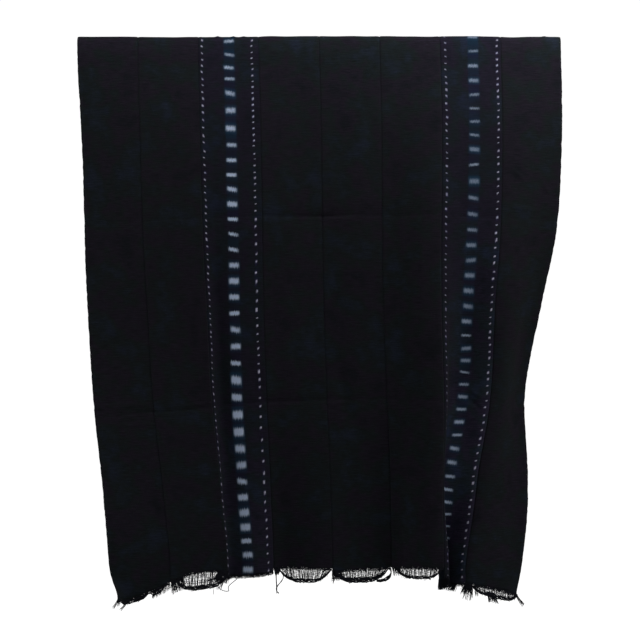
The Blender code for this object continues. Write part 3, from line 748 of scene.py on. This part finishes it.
# %% Frayed yarn and sewing thread
def frayed_yarn():
    made, tree, shader = new_material("frayed indigo yarn", 0.95, 0.02)
    at = add(tree, "ShaderNodeTexCoord")
    spun = add(tree, "ShaderNodeTexNoise", {"Vector": at.outputs["Object"], "Scale": 160.0, "Detail": 2.0})
    colour = add(tree, "ShaderNodeMapRange", {0: spun, 1: 0.3, 2: 0.7})
    ends = {6: linear("121318"), 7: linear("1F2029")}
    mixed = add(tree, "ShaderNodeMix", {0: colour, **ends}, data_type="RGBA")
    tree.links.new(mixed.outputs[2], shader.inputs["Base Color"])
    fuzz = add(tree, "ShaderNodeTexNoise", {"Vector": at.outputs["Object"], "Scale": 1500.0})
    bump = add(tree, "ShaderNodeBump", {"Height": fuzz, "Strength": 0.4, "Distance": 0.0003})
    tree.links.new(bump.outputs[0], shader.inputs["Normal"])
    return made


FRAYED_YARN = frayed_yarn()
print("made", FRAYED_YARN.name)

# %% [markdown]
# ## Yarn from Geometry Nodes
# Every thick loose end here is a yarn of two plies twisted together; the fine ones are single. The script only lays
# out the paths, as bare lines with a radius at each point. A Geometry Nodes tree then turns every line into yarn: it
# resamples the line, copies it once for each ply, winds the copies round the line, and sweeps a small circle along
# them.

# %% A tree that turns lines into twisted yarn
def new_tree(name, sockets):
    """A Geometry Nodes tree with a geometry in and out and these named inputs."""
    tree = bpy.data.node_groups.new(name, "GeometryNodeTree")
    tree.interface.new_socket("Geometry", in_out="INPUT", socket_type="NodeSocketGeometry")
    for label, kind in sockets:
        tree.interface.new_socket(label, in_out="INPUT", socket_type=f"NodeSocket{kind}")
    tree.interface.new_socket("Geometry", in_out="OUTPUT", socket_type="NodeSocketGeometry")
    return tree, tree.nodes.new("NodeGroupInput").outputs


def yarn_tree():
    sockets = (
        ("Step", "Float"),
        ("Plies", "Int"),
        ("Radii a turn", "Float"),
        ("Sides", "Int"),
        ("Finish", "Material"),
    )
    tree, given = new_tree("twisted yarn", sockets)
    line = add(tree, "GeometryNodeMeshToCurve", {"Mesh": given["Geometry"]})
    even = add(tree, "GeometryNodeResampleCurve", {"Curve": line}, mode="LENGTH")
    tree.links.new(given["Step"], even.inputs["Length"])
    plies = add(tree, "GeometryNodeDuplicateElements", {"Geometry": even, "Amount": given["Plies"]}, domain="SPLINE")
    radius = add(tree, "GeometryNodeInputNamedAttribute", {"Name": "radius_of_yarn"}, data_type="FLOAT")
    along = add(tree, "GeometryNodeSplineParameter")
    pitch = add(tree, "ShaderNodeMath", {0: radius, 1: given["Radii a turn"]}, operation="MULTIPLY")
    turns = add(tree, "ShaderNodeMath", {0: along.outputs["Length"], 1: pitch}, operation="DIVIDE")
    part = add(tree, "ShaderNodeMath", {0: plies.outputs["Duplicate Index"], 1: given["Plies"]}, operation="DIVIDE")
    turned = add(tree, "ShaderNodeMath", {0: turns, 1: part}, operation="ADD")
    angle = add(tree, "ShaderNodeMath", {0: turned, 1: math.tau}, operation="MULTIPLY")
    aside = add(tree, "ShaderNodeVectorRotate", {
        "Vector": add(tree, "GeometryNodeInputNormal"),
        "Axis": add(tree, "GeometryNodeInputTangent"),
        "Angle": angle,
    })
    single = add(tree, "FunctionNodeCompare", {2: given["Plies"], 3: 1}, data_type="INT", operation="GREATER_THAN")
    offset = add(tree, "ShaderNodeMath", {0: radius, 1: single}, operation="MULTIPLY")
    shift = add(tree, "ShaderNodeVectorMath", {0: aside, "Scale": offset}, operation="SCALE")
    wound = add(tree, "GeometryNodeSetPosition", {"Geometry": plies, "Offset": shift})
    ring = add(tree, "GeometryNodeCurvePrimitiveCircle", {"Resolution": given["Sides"], "Radius": 1.0})
    swept = {"Curve": wound, "Profile Curve": ring, "Scale": radius, "Fill Caps": True}
    tube = add(tree, "GeometryNodeCurveToMesh", swept)
    joined = add(tree, "GeometryNodeRealizeInstances", {"Geometry": tube})
    shown = add(tree, "GeometryNodeSetMaterial", {"Geometry": joined, "Material": given["Finish"]})
    add(tree, "NodeGroupOutput", {"Geometry": shown})
    return tree


YARN = yarn_tree()
print("twisted yarn:", len(YARN.nodes), "nodes")

# %% Running a tree on an object
def run_tree(source, tree, values):
    """Gives the object the tree with these inputs, and returns the result as a plain mesh object."""
    modifier = source.modifiers.new(tree.name, "NODES")
    modifier.node_group = tree
    for item in tree.interface.items_tree:
        if item.item_type == "SOCKET" and item.in_out == "INPUT" and item.name in values:
            modifier[item.identifier] = values[item.name]
    bpy.context.view_layer.update()
    graph = bpy.context.evaluated_depsgraph_get()
    mesh = bpy.data.meshes.new_from_object(source.evaluated_get(graph), depsgraph=graph)
    name = source.name
    bpy.data.objects.remove(source)
    made = bpy.data.objects.new(name, mesh)
    bpy.context.scene.collection.objects.link(made)
    return made


def lines_object(name, paths, radii):
    """Loose lines as one mesh of edges, with the yarn's radius at each point."""
    points, edges, sizes = [], [], []
    for path, radius in zip(paths, radii):
        start = len(points)
        points += [tuple(point) for point in path]
        edges += [(start + k, start + k + 1) for k in range(len(path) - 1)]
        sizes += list(np.broadcast_to(radius, len(path)))
    mesh = bpy.data.meshes.new(name)
    mesh.from_pydata(points, edges, [])
    mesh.attributes.new("radius_of_yarn", "FLOAT", "POINT").data.foreach_set("value", sizes)
    made = bpy.data.objects.new(name, mesh)
    bpy.context.scene.collection.objects.link(made)
    return made


print("trees run with named inputs")

# %% [markdown]
# ## The frayed ends
# Where the last weft yarns have worked loose, they hang in scallops under the cloth as doubled cords, held by bare
# warp ends. Some warp ends have slipped free and hang in tufts. The tables are those of the solids, with more and
# thinner yarns added between them, and every path is laid out flat below the strip's end and then hung with it.

# %% Tables of the fringe
# Scalloped cords: strip, start and end across the strip, sag, how flat the bottom is (2 is a parabola),
# number of yarns, how far they spread
CORDS = (
    (1, 0.022, 0.084, 0.0062, 8, 18, 0.0044),
    (1, 0.088, 0.120, 0.0105, 4, 4, 0.0018),
    (2, 0.010, 0.129, 0.0345, 3, 18, 0.0052),
    (4, 0.010, 0.129, 0.0290, 3, 16, 0.0044),
    (5, 0.004, 0.124, 0.0262, 4, 15, 0.0036),
    (5, 0.008, 0.120, 0.0205, 5, 12, 0.0030),
    (6, 0.008, 0.129, 0.0220, 4, 13, 0.0036),
    (8, 0.012, 0.127, 0.0165, 4, 14, 0.0040),
)
# Bare warps down to the cord: strip, first and last place across, number, how far they stray in steps, and
# how much of the way to the lens's middle their feet are drawn
BARE_WARPS = (
    (1, 0.024, 0.082, 80, 2.0, 0.0),
    (1, 0.090, 0.118, 34, 2.0, 0.0),
    (2, 0.018, 0.122, 140, 7.0, 0.0),
    (4, 0.015, 0.127, 120, 2.6, 0.24),
    (5, 0.010, 0.119, 120, 5.0, 0.10),
    (6, 0.012, 0.127, 120, 5.0, 0.08),
    (8, 0.018, 0.124, 124, 4.0, 0.06),
)
# Hanging threads: strip, first and last root across, number, depth of the root, length, shift of the first
# and last tip, lift of the tip, yarn radius
TUFTS = (
    (1, 0.0010, 0.0080, 9, 0.000, 0.020, -0.004, -0.004, 0.0100, 0.00040),
    (1, 0.0360, 0.0410, 9, 0.006, 0.017, -0.011, -0.012, 0.0060, 0.00044),
    (1, 0.0080, 0.0240, 16, 0.000, 0.014, -0.004, -0.006, 0.0030, 0.00020),
    (1, 0.0960, 0.1300, 60, 0.000, 0.019, -0.006, 0.004, 0.0000, 0.00028),
    (2, 0.0020, 0.0260, 80, 0.000, 0.031, 0.002, 0.006, 0.0000, 0.00044),
    (2, 0.1060, 0.1300, 90, 0.000, 0.026, -0.012, -0.004, 0.0000, 0.00050),
    (2, 0.1110, 0.1200, 16, 0.006, 0.038, -0.012, -0.006, 0.0000, 0.00044),
    (3, 0.0180, 0.1300, 210, 0.000, 0.0095, 0.000, 0.000, 0.0000, 0.00044),
    (4, 0.0005, 0.0160, 64, 0.000, 0.017, 0.004, -0.004, 0.0000, 0.00048),
    (5, 0.0005, 0.0200, 72, 0.000, 0.023, 0.000, 0.004, 0.0000, 0.00048),
    (5, 0.0005, 0.0030, 6, 0.000, 0.031, -0.001, -0.001, 0.0000, 0.00036),
    (6, 0.0020, 0.0200, 38, 0.000, 0.020, 0.002, 0.004, 0.0000, 0.00032),
    (7, 0.0280, 0.1080, 230, 0.000, 0.020, -0.008, -0.007, 0.0000, 0.00048),
    (7, 0.1040, 0.1300, 30, 0.000, 0.009, -0.002, -0.003, 0.0000, 0.00044),
    (8, 0.0005, 0.0160, 76, 0.000, 0.026, -0.013, 0.000, 0.0000, 0.00048),
    (8, 0.0005, 0.0140, 24, 0.000, 0.038, -0.010, 0.003, 0.0000, 0.00044),
    (8, 0.0210, 0.0270, 14, 0.000, 0.026, 0.000, 0.001, 0.0000, 0.00036),
    (8, 0.0470, 0.0660, 44, 0.012, 0.020, 0.004, 0.008, 0.0000, 0.00048),
    (8, 0.1220, 0.1300, 12, 0.000, 0.026, 0.002, 0.003, 0.0150, 0.00050),
)
# Loops, tails and knots: strip, number of yarns, spread, yarn radius, then four places across, each with its
# depth below the end
TAILS = (
    (2, 7, 0.0018, 0.00042, 0.078, 0.022, 0.092, 0.019, 0.104, 0.012, 0.117, 0.003),
    (2, 1, 0.0000, 0.00056, 0.103, 0.031, 0.116, 0.041, 0.142, 0.036, 0.176, 0.002),
    (2, 1, 0.0000, 0.00034, 0.095, 0.031, 0.096, 0.038, 0.095, 0.044, 0.095, 0.051),
    (4, 12, 0.0026, 0.00052, 0.006, 0.006, 0.0065, 0.024, 0.0075, 0.040, 0.008, 0.055),
    (4, 2, 0.0010, 0.00056, 0.020, 0.013, 0.019, 0.029, 0.008, 0.042, 0.013, 0.056),
    (5, 18, 0.0050, 0.00048, 0.126, 0.001, 0.129, 0.014, 0.118, 0.025, 0.098, 0.0275),
    (6, 1, 0.0000, 0.00110, 0.046, 0.022, 0.047, 0.0235, 0.048, 0.0240, 0.050, 0.0225),
    (6, 1, 0.0000, 0.00080, 0.066, 0.022, 0.067, 0.0235, 0.067, 0.0250, 0.067, 0.0265),
    (6, 1, 0.0000, 0.00080, 0.100, 0.022, 0.101, 0.0235, 0.101, 0.0250, 0.102, 0.0262),
)
CORD_YARN = 0.00046
WARP_YARN = 0.00027
FINE_YARN = 0.00034
print(len(CORDS), "cords,", sum(row[3] for row in BARE_WARPS + TUFTS), "warp ends")

# %% Paths of the fringe
def cord_below(row, across_strip):
    """How far a scalloped cord hangs below the frayed end, at a place across its strip."""
    _, start, end, sag, flatness = row[:5]
    share = (across_strip - start) / (end - start)
    return np.maximum(sag * (1 - np.abs(2 * share - 1) ** flatness), 0.0)


def bundle(place, below, count, spread, radius, chance):
    """Several yarns wound loosely round one path. They spread in the cloth's plane and out of it."""
    share = np.linspace(0, 1, len(place))
    length = np.concatenate(([0.0], np.cumsum(np.hypot(np.diff(place), np.diff(below)))))
    yarns = []
    for k in range(count):
        seed = int(chance.integers(1000))
        angle = math.tau * (k / count + length / 0.034) + 1.2 * soft_noise(length, 0, 0.012, 1, seed)
        out = spread * (0.75 + 0.35 * soft_noise(length, 1, 0.009, 1, seed)) * (0.45 + 0.55 * np.sin(np.pi * share))
        yarns.append((place, below + out * np.cos(angle), 0.6 * out * np.sin(angle), radius))
    return yarns


def through_points(numbers, count):
    """A smooth line through a few points, given as x, y, x, y and so on."""
    points = np.reshape(numbers, (-1, 2))
    at = np.linspace(0, len(points) - 1, count)
    steps = np.arange(len(points))
    powers = [np.polyfit(steps, points[:, axis], len(points) - 1) for axis in (0, 1)]
    return np.polyval(powers[0], at), np.polyval(powers[1], at)


def heading_paths(strip, chance):
    """The last weft yarns, and a comb of short warp ends."""
    paths = []
    for below in (0.0006, 0.0017, 0.0029):
        place = np.linspace(0.001, STRIP_WIDTH - 0.001, 60)
        depth = below + 0.0005 * soft_noise(place, below, 0.006, 0.001, strip)
        paths.append((place, depth, 0.0003 * soft_noise(place, below, 0.003, 0.001, strip + 9), 0.00042))
    for root in np.arange(0.0012, STRIP_WIDTH - 0.001, 0.0013):
        length = chance.uniform(0.0030, 0.0068)
        place = root + chance.uniform(-0.0008, 0.0008) * np.linspace(0, 1, 4)
        lift = chance.uniform(-0.0006, 0.0008) * np.linspace(0, 1, 4) ** 2
        paths.append((place, np.linspace(-0.0025, length, 4), lift, WARP_YARN))
    return paths


def net_paths(strip, chance):
    """Cords in scallops, the bare warps that hold them, and stray wefts between."""
    paths = []
    cords = [row for row in CORDS if row[0] == strip]
    for row in cords:
        place = np.linspace(row[1], row[2], 60)
        below = cord_below(row, place) + 0.0006 * soft_noise(place, 0, 0.008, 1, strip + 20)
        paths += bundle(place, below, row[5], row[6], CORD_YARN, chance)
        for root in chance.uniform(row[1] + 0.006, row[2] - 0.006, 12):
            stub = chance.uniform(0.002, 0.005) * np.linspace(0, 1, 4)
            side = chance.uniform(-0.6, 0.6)
            paths.append((root + side * stub, cord_below(row, root) + row[6] * 0.6 + stub, 0 * stub, WARP_YARN))
        for share in (0.22, 0.38, 0.54, 0.70, 0.84):
            stray = place[5:-5]
            depth = share * cord_below(row, stray) + 0.0024 * soft_noise(stray, share, 0.007, 0.1, strip + 40)
            paths.append((stray, depth, 0.0004 * soft_noise(stray, 1, 0.01, 1, strip + 50), WARP_YARN))
    for owner, first, last, number, wander, gather in BARE_WARPS:
        if owner != strip:
            continue
        row = next(cord for cord in cords if cord[1] < (first + last) / 2 < cord[2])
        pitch = (last - first) / (number - 1)
        for k in range(number):
            root = first + pitch * (k + chance.uniform(-0.5, 0.5))
            foot = root + gather * ((first + last) / 2 - root) + chance.uniform(-wander, wander) * pitch
            foot = min(max(foot, row[1] + 0.003), row[2] - 0.003)
            t = np.linspace(0, 1, 7)
            place = root + (foot - root) * t + chance.uniform(-0.0014, 0.0014) * np.sin(np.pi * t)
            depth = -0.002 + (cord_below(row, foot) + 0.002) * t
            paths.append((place, depth, chance.uniform(-0.0006, 0.0006) * np.sin(np.pi * t), WARP_YARN))
    return paths


def tuft_paths(strip, chance):
    """Threads that hang free, each with its own length and curl."""
    paths = []
    for owner, first, last, number, top, length, first_shift, last_shift, tip_lift, radius in TUFTS:
        if owner != strip:
            continue
        for k in range(number):
            share = np.clip((k + chance.uniform(-0.6, 0.6)) / (number - 1), 0, 1)
            root = first + (last - first) * share
            shift = first_shift + (last_shift - first_shift) * share + chance.uniform(-0.10, 0.10) * length
            reach = length * chance.uniform(0.62, 1.0)
            t = np.linspace(0, 1, 9)
            curl = chance.uniform(-0.06, 0.06) * length * np.sin(np.pi * t * chance.uniform(1.0, 2.2))
            lift = chance.uniform(-0.12, 0.14) * min(length, 0.02) + tip_lift
            place = root + shift * t**1.4 + curl
            paths.append((place, top - 0.002 + (reach + 0.002) * t, lift * t**1.3, radius * (1 - 0.3 * t)))
    return paths


def fringe_paths(strip):
    """Flat paths of one strip's fringe: place across the strip, depth below the end, lift, and the yarn's radius."""
    chance = np.random.default_rng(40 + strip)
    paths = heading_paths(strip, chance) + net_paths(strip, chance) + tuft_paths(strip, chance)
    for owner, count, spread, radius, *numbers in TAILS:
        if owner == strip:
            place, below = through_points(numbers, 24)
            paths += bundle(place, below, count, spread, radius, chance)
    return paths


def into_one(first, second):
    """Puts the second object's mesh into the first."""
    both = bmesh.new()
    both.from_mesh(first.data)
    both.from_mesh(second.data)
    both.to_mesh(first.data)
    both.free()
    bpy.data.objects.remove(second)
    return first


def make_fringe(strip):
    """Thick yarns show their two plies. Fine ones are single, as thick as their plies together would be."""
    left = (strip - 1) * STRIP_WIDTH
    thick, fine = [], []
    for place, below, lift, radius in fringe_paths(strip):
        line = hang(left + place, frayed_end(strip, place) + below, lift)
        if np.max(radius) > FINE_YARN:
            thick.append((line, radius))
        else:
            fine.append((line, radius * 1.8))
    twisted = {"Step": 0.0020, "Plies": 2, "Radii a turn": 16.0, "Sides": 4, "Finish": FRAYED_YARN}
    single = {**twisted, "Step": 0.0026, "Plies": 1, "Sides": 3}
    made = run_tree(lines_object(f"frayed_end_{strip}", *zip(*thick)), YARN, twisted)
    return into_one(made, run_tree(lines_object(f"fine_end_{strip}", *zip(*fine)), YARN, single))


fringe = {strip: make_fringe(strip) for strip in STRIPS}
print("faces in the fringes:", {strip: len(made.data.polygons) for strip, made in fringe.items()})

# %% [markdown]
# ## Whip stitches
# The strips are joined by hand with a slanting stitch that takes a few threads of each selvedge and pulls them
# together. A Geometry Nodes tree walks along each seam and sets one small arched stitch every 6 mm, turned to lie
# on the cloth and across the seam.

# %% A tree that sews along lines
def stitch_tree():
    sockets = (
        ("Pitch", "Float"),
        ("Length", "Float"),
        ("Thread radius", "Float"),
        ("Slant", "Float"),
        ("Seed", "Int"),
        ("Finish", "Material"),
    )
    tree, given = new_tree("whip stitches", sockets)
    seam = add(tree, "GeometryNodeMeshToCurve", {"Mesh": given["Geometry"]})
    even = add(tree, "GeometryNodeResampleCurve", {"Curve": seam}, mode="LENGTH")
    tree.links.new(given["Pitch"], even.inputs["Length"])
    half = add(tree, "ShaderNodeMath", {0: given["Length"], 1: 0.5}, operation="MULTIPLY")
    back = add(tree, "ShaderNodeMath", {0: given["Length"], 1: -0.5}, operation="MULTIPLY")
    rise = add(tree, "ShaderNodeMath", {0: given["Thread radius"], 1: 3.0}, operation="MULTIPLY")
    dip = add(tree, "ShaderNodeMath", {0: given["Thread radius"], 1: -0.6}, operation="MULTIPLY")
    arch = add(tree, "GeometryNodeCurveQuadraticBezier", {
        "Resolution": 4,
        "Start": add(tree, "ShaderNodeCombineXYZ", {0: back, 2: dip}),
        "Middle": add(tree, "ShaderNodeCombineXYZ", {2: rise}),
        "End": add(tree, "ShaderNodeCombineXYZ", {0: half, 2: dip}),
    })
    ring = add(tree, "GeometryNodeCurvePrimitiveCircle", {"Resolution": 4, "Radius": given["Thread radius"]})
    stitch = add(tree, "GeometryNodeCurveToMesh", {"Curve": arch, "Profile Curve": ring, "Fill Caps": True})
    outward = add(tree, "GeometryNodeInputNamedAttribute", {"Name": "outward"}, data_type="FLOAT_VECTOR")
    along = add(tree, "FunctionNodeAlignRotationToVector", {"Vector": add(tree, "GeometryNodeInputTangent")}, axis="X")
    upright = {"axis": "Z", "pivot_axis": "X"}
    facing = add(tree, "FunctionNodeAlignRotationToVector", {"Rotation": along, "Vector": outward}, **upright)
    loose = add(tree, "FunctionNodeRandomValue", {2: -0.22, 3: 0.22, "Seed": given["Seed"]}, data_type="FLOAT")
    slant = add(tree, "ShaderNodeMath", {0: given["Slant"], 1: loose}, operation="ADD")
    turn = add(tree, "FunctionNodeAxisAngleToRotation", {"Axis": (0.0, 0.0, 1.0), "Angle": slant})
    placed = add(tree, "FunctionNodeRotateRotation", {"Rotation": facing, "Rotate By": turn}, rotation_space="LOCAL")
    size = add(tree, "FunctionNodeRandomValue", {2: 0.8, 3: 1.15, "Seed": given["Seed"]}, data_type="FLOAT")
    copies = {"Points": even, "Instance": stitch, "Rotation": placed, "Scale": size}
    sewn = add(tree, "GeometryNodeInstanceOnPoints", copies)
    joined = add(tree, "GeometryNodeRealizeInstances", {"Geometry": sewn})
    shown = add(tree, "GeometryNodeSetMaterial", {"Geometry": joined, "Material": given["Finish"]})
    add(tree, "NodeGroupOutput", {"Geometry": shown})
    return tree


def sew_seams():
    """The seven seams as lines with the direction out of the cloth, sewn by the tree."""
    points, edges, outward = [], [], []
    for seam in range(1, STRIP_COUNT):
        across = np.full(520, seam * STRIP_WIDTH)
        last = min(frayed_end(seam, STRIP_WIDTH), frayed_end(seam + 1, 0.0)) - 0.004
        along = np.linspace(-BACK_LENGTH + 0.003, last, 520)
        start = len(points)
        points += hang(across, along, small_creases(across, along) + CLOTH_THICKNESS / 2).tolist()
        edges += [(start + k, start + k + 1) for k in range(519)]
        outward += outward_at(across, along)[0].tolist()
    mesh = bpy.data.meshes.new("whip_stitches")
    mesh.from_pydata(points, edges, [])
    mesh.attributes.new("outward", "FLOAT_VECTOR", "POINT").data.foreach_set("vector", np.ravel(outward))
    made = bpy.data.objects.new("whip_stitches", mesh)
    bpy.context.scene.collection.objects.link(made)
    values = {"Pitch": 0.006, "Length": 0.0042, "Thread radius": 0.0002, "Slant": 1.05, "Seed": 4}
    values["Finish"] = FRAYED_YARN
    return run_tree(made, stitch_tree(), values)


stitches = sew_seams()
print("faces in the stitches:", len(stitches.data.polygons))

# %% [markdown]
# ## Joining looks to the frame
# Each fine sheet stands for its solid, which is hidden. It is cut to the loom width, and to the back fall plus the
# front fall to its own frayed end. The frayed yarns go with their strip.

# %% Replace the solids
for strip in STRIPS:
    name = f"strip_{strip}"
    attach(cloth[strip], "root")
    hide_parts(name)
    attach(fringe[strip], "root")
    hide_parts(f"fringe_{strip}")
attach(stitches, "root")

# %% [markdown]
# ## Studio
# The picture has a plain white ground with no shadow. So a large pale sheet curves up behind the cloth, far enough
# away to catch none of its shadow, and it is seen by the camera only, so that it doesn't light the cloth from
# behind. The cloth is brightest near the bar and at its right side: two small soft lights stand over it. Weak
# ones low at both sides and in front open the folds, and one behind is for the back, which the camera can't see.

# %% Floor and backdrop
FLOOR = -1.75


def backdrop():
    """A floor that curves up into a wall all round."""
    rings = [(1.0, 0.0), (4.0, 0.0), (6.0, 0.15), (7.4, 0.8), (8.2, 2.2), (8.6, 4.5), (8.8, 9.0)]
    around = 64
    points = [
        (r * math.cos(math.tau * k / around), r * math.sin(math.tau * k / around), FLOOR + h)
        for r, h in rings
        for k in range(around)
    ]
    faces = [
        (i * around + k, i * around + (k + 1) % around, (i + 1) * around + (k + 1) % around, (i + 1) * around + k)
        for i in range(len(rings) - 1)
        for k in range(around)
    ]
    faces.append(tuple(range(around)))
    mesh = bpy.data.meshes.new("backdrop")
    mesh.from_pydata(points, [], faces)
    mesh.polygons.foreach_set("use_smooth", [True] * len(faces))
    made = bpy.data.objects.new("backdrop", mesh)
    bpy.context.scene.collection.objects.link(made)
    return made


def white_paper():
    made, tree, shader = new_material("white paper", 1.0, 0.0)
    shader.inputs["Base Color"].default_value = linear("F4F4F4")
    shader.inputs["Emission Color"].default_value = linear("FFFFFF")
    shader.inputs["Emission Strength"].default_value = 1.0
    return made


paper = backdrop()
paper.data.materials.append(white_paper())
paper.visible_diffuse = False
paper.visible_glossy = False
paper.visible_shadow = False
print("floor at", FLOOR, "m")

# %% Lights
# Soft lights: name, place, size, watts, point it faces
LIGHTS = (
    ("over the right", (1.00, -0.50, 0.40), (0.6, 0.5), 5.8, (0.45, 0.0, -0.2)),
    ("over the crest", (0.0, -0.30, 0.25), (1.6, 0.3), 2.1, (0.0, 0.0, -0.2)),
    ("left", (-2.2, -0.40, -0.30), (0.4, 1.4), 5.1, (-0.4, 0.0, -0.4)),
    ("low left", (-1.6, -0.80, -1.00), (0.5, 1.0), 5.1, (-0.4, 0.0, -0.9)),
    ("low right", (1.6, -0.80, -1.20), (0.5, 0.8), 5.7, (0.4, 0.0, -1.0)),
    ("front", (-0.4, -3.0, -1.1), (1.6, 1.2), 6.0, (0.2, 0.0, -0.85)),
    ("behind", (0.6, 2.6, 1.5), (2.4, 1.6), 20.0, (0.0, 0.0, -0.5)),
)
for name, place, size, watts, aim in LIGHTS:
    lamp = bpy.data.lights.new(name, "AREA")
    lamp.shape = "RECTANGLE"
    lamp.size, lamp.size_y = size
    lamp.energy = watts
    made = bpy.data.objects.new(name, lamp)
    made.location = place
    made.rotation_euler = (Vector(aim) - Vector(place)).to_track_quat("-Z", "Y").to_euler()
    made.visible_camera = False
    bpy.context.scene.collection.objects.link(made)
world = bpy.data.worlds.new("soft room")
world.use_nodes = True
world.node_tree.nodes["Background"].inputs["Color"].default_value = linear("FFFFFF")
world.node_tree.nodes["Background"].inputs["Strength"].default_value = 0.034
bpy.context.scene.world = world
bpy.context.scene.view_settings.view_transform = "Standard"
print(len(LIGHTS), "lights")

# %% [markdown]
# ## Camera
# A long lens, level with the middle of the cloth and square to it, keeps its sides parallel as in the picture.

# %% Camera
camera_data = bpy.data.cameras.new("camera")
camera_data.sensor_width = 36.0
camera_data.lens = 85.0
camera = bpy.data.objects.new("camera", camera_data)
camera.location = (0.0022, -3.285, -0.6163)
camera.rotation_euler = (math.radians(90), 0, 0)
bpy.context.scene.collection.objects.link(camera)
bpy.context.scene.camera = camera
print("field", round(36 / 85 * 3.285, 3), "m wide at the cloth")
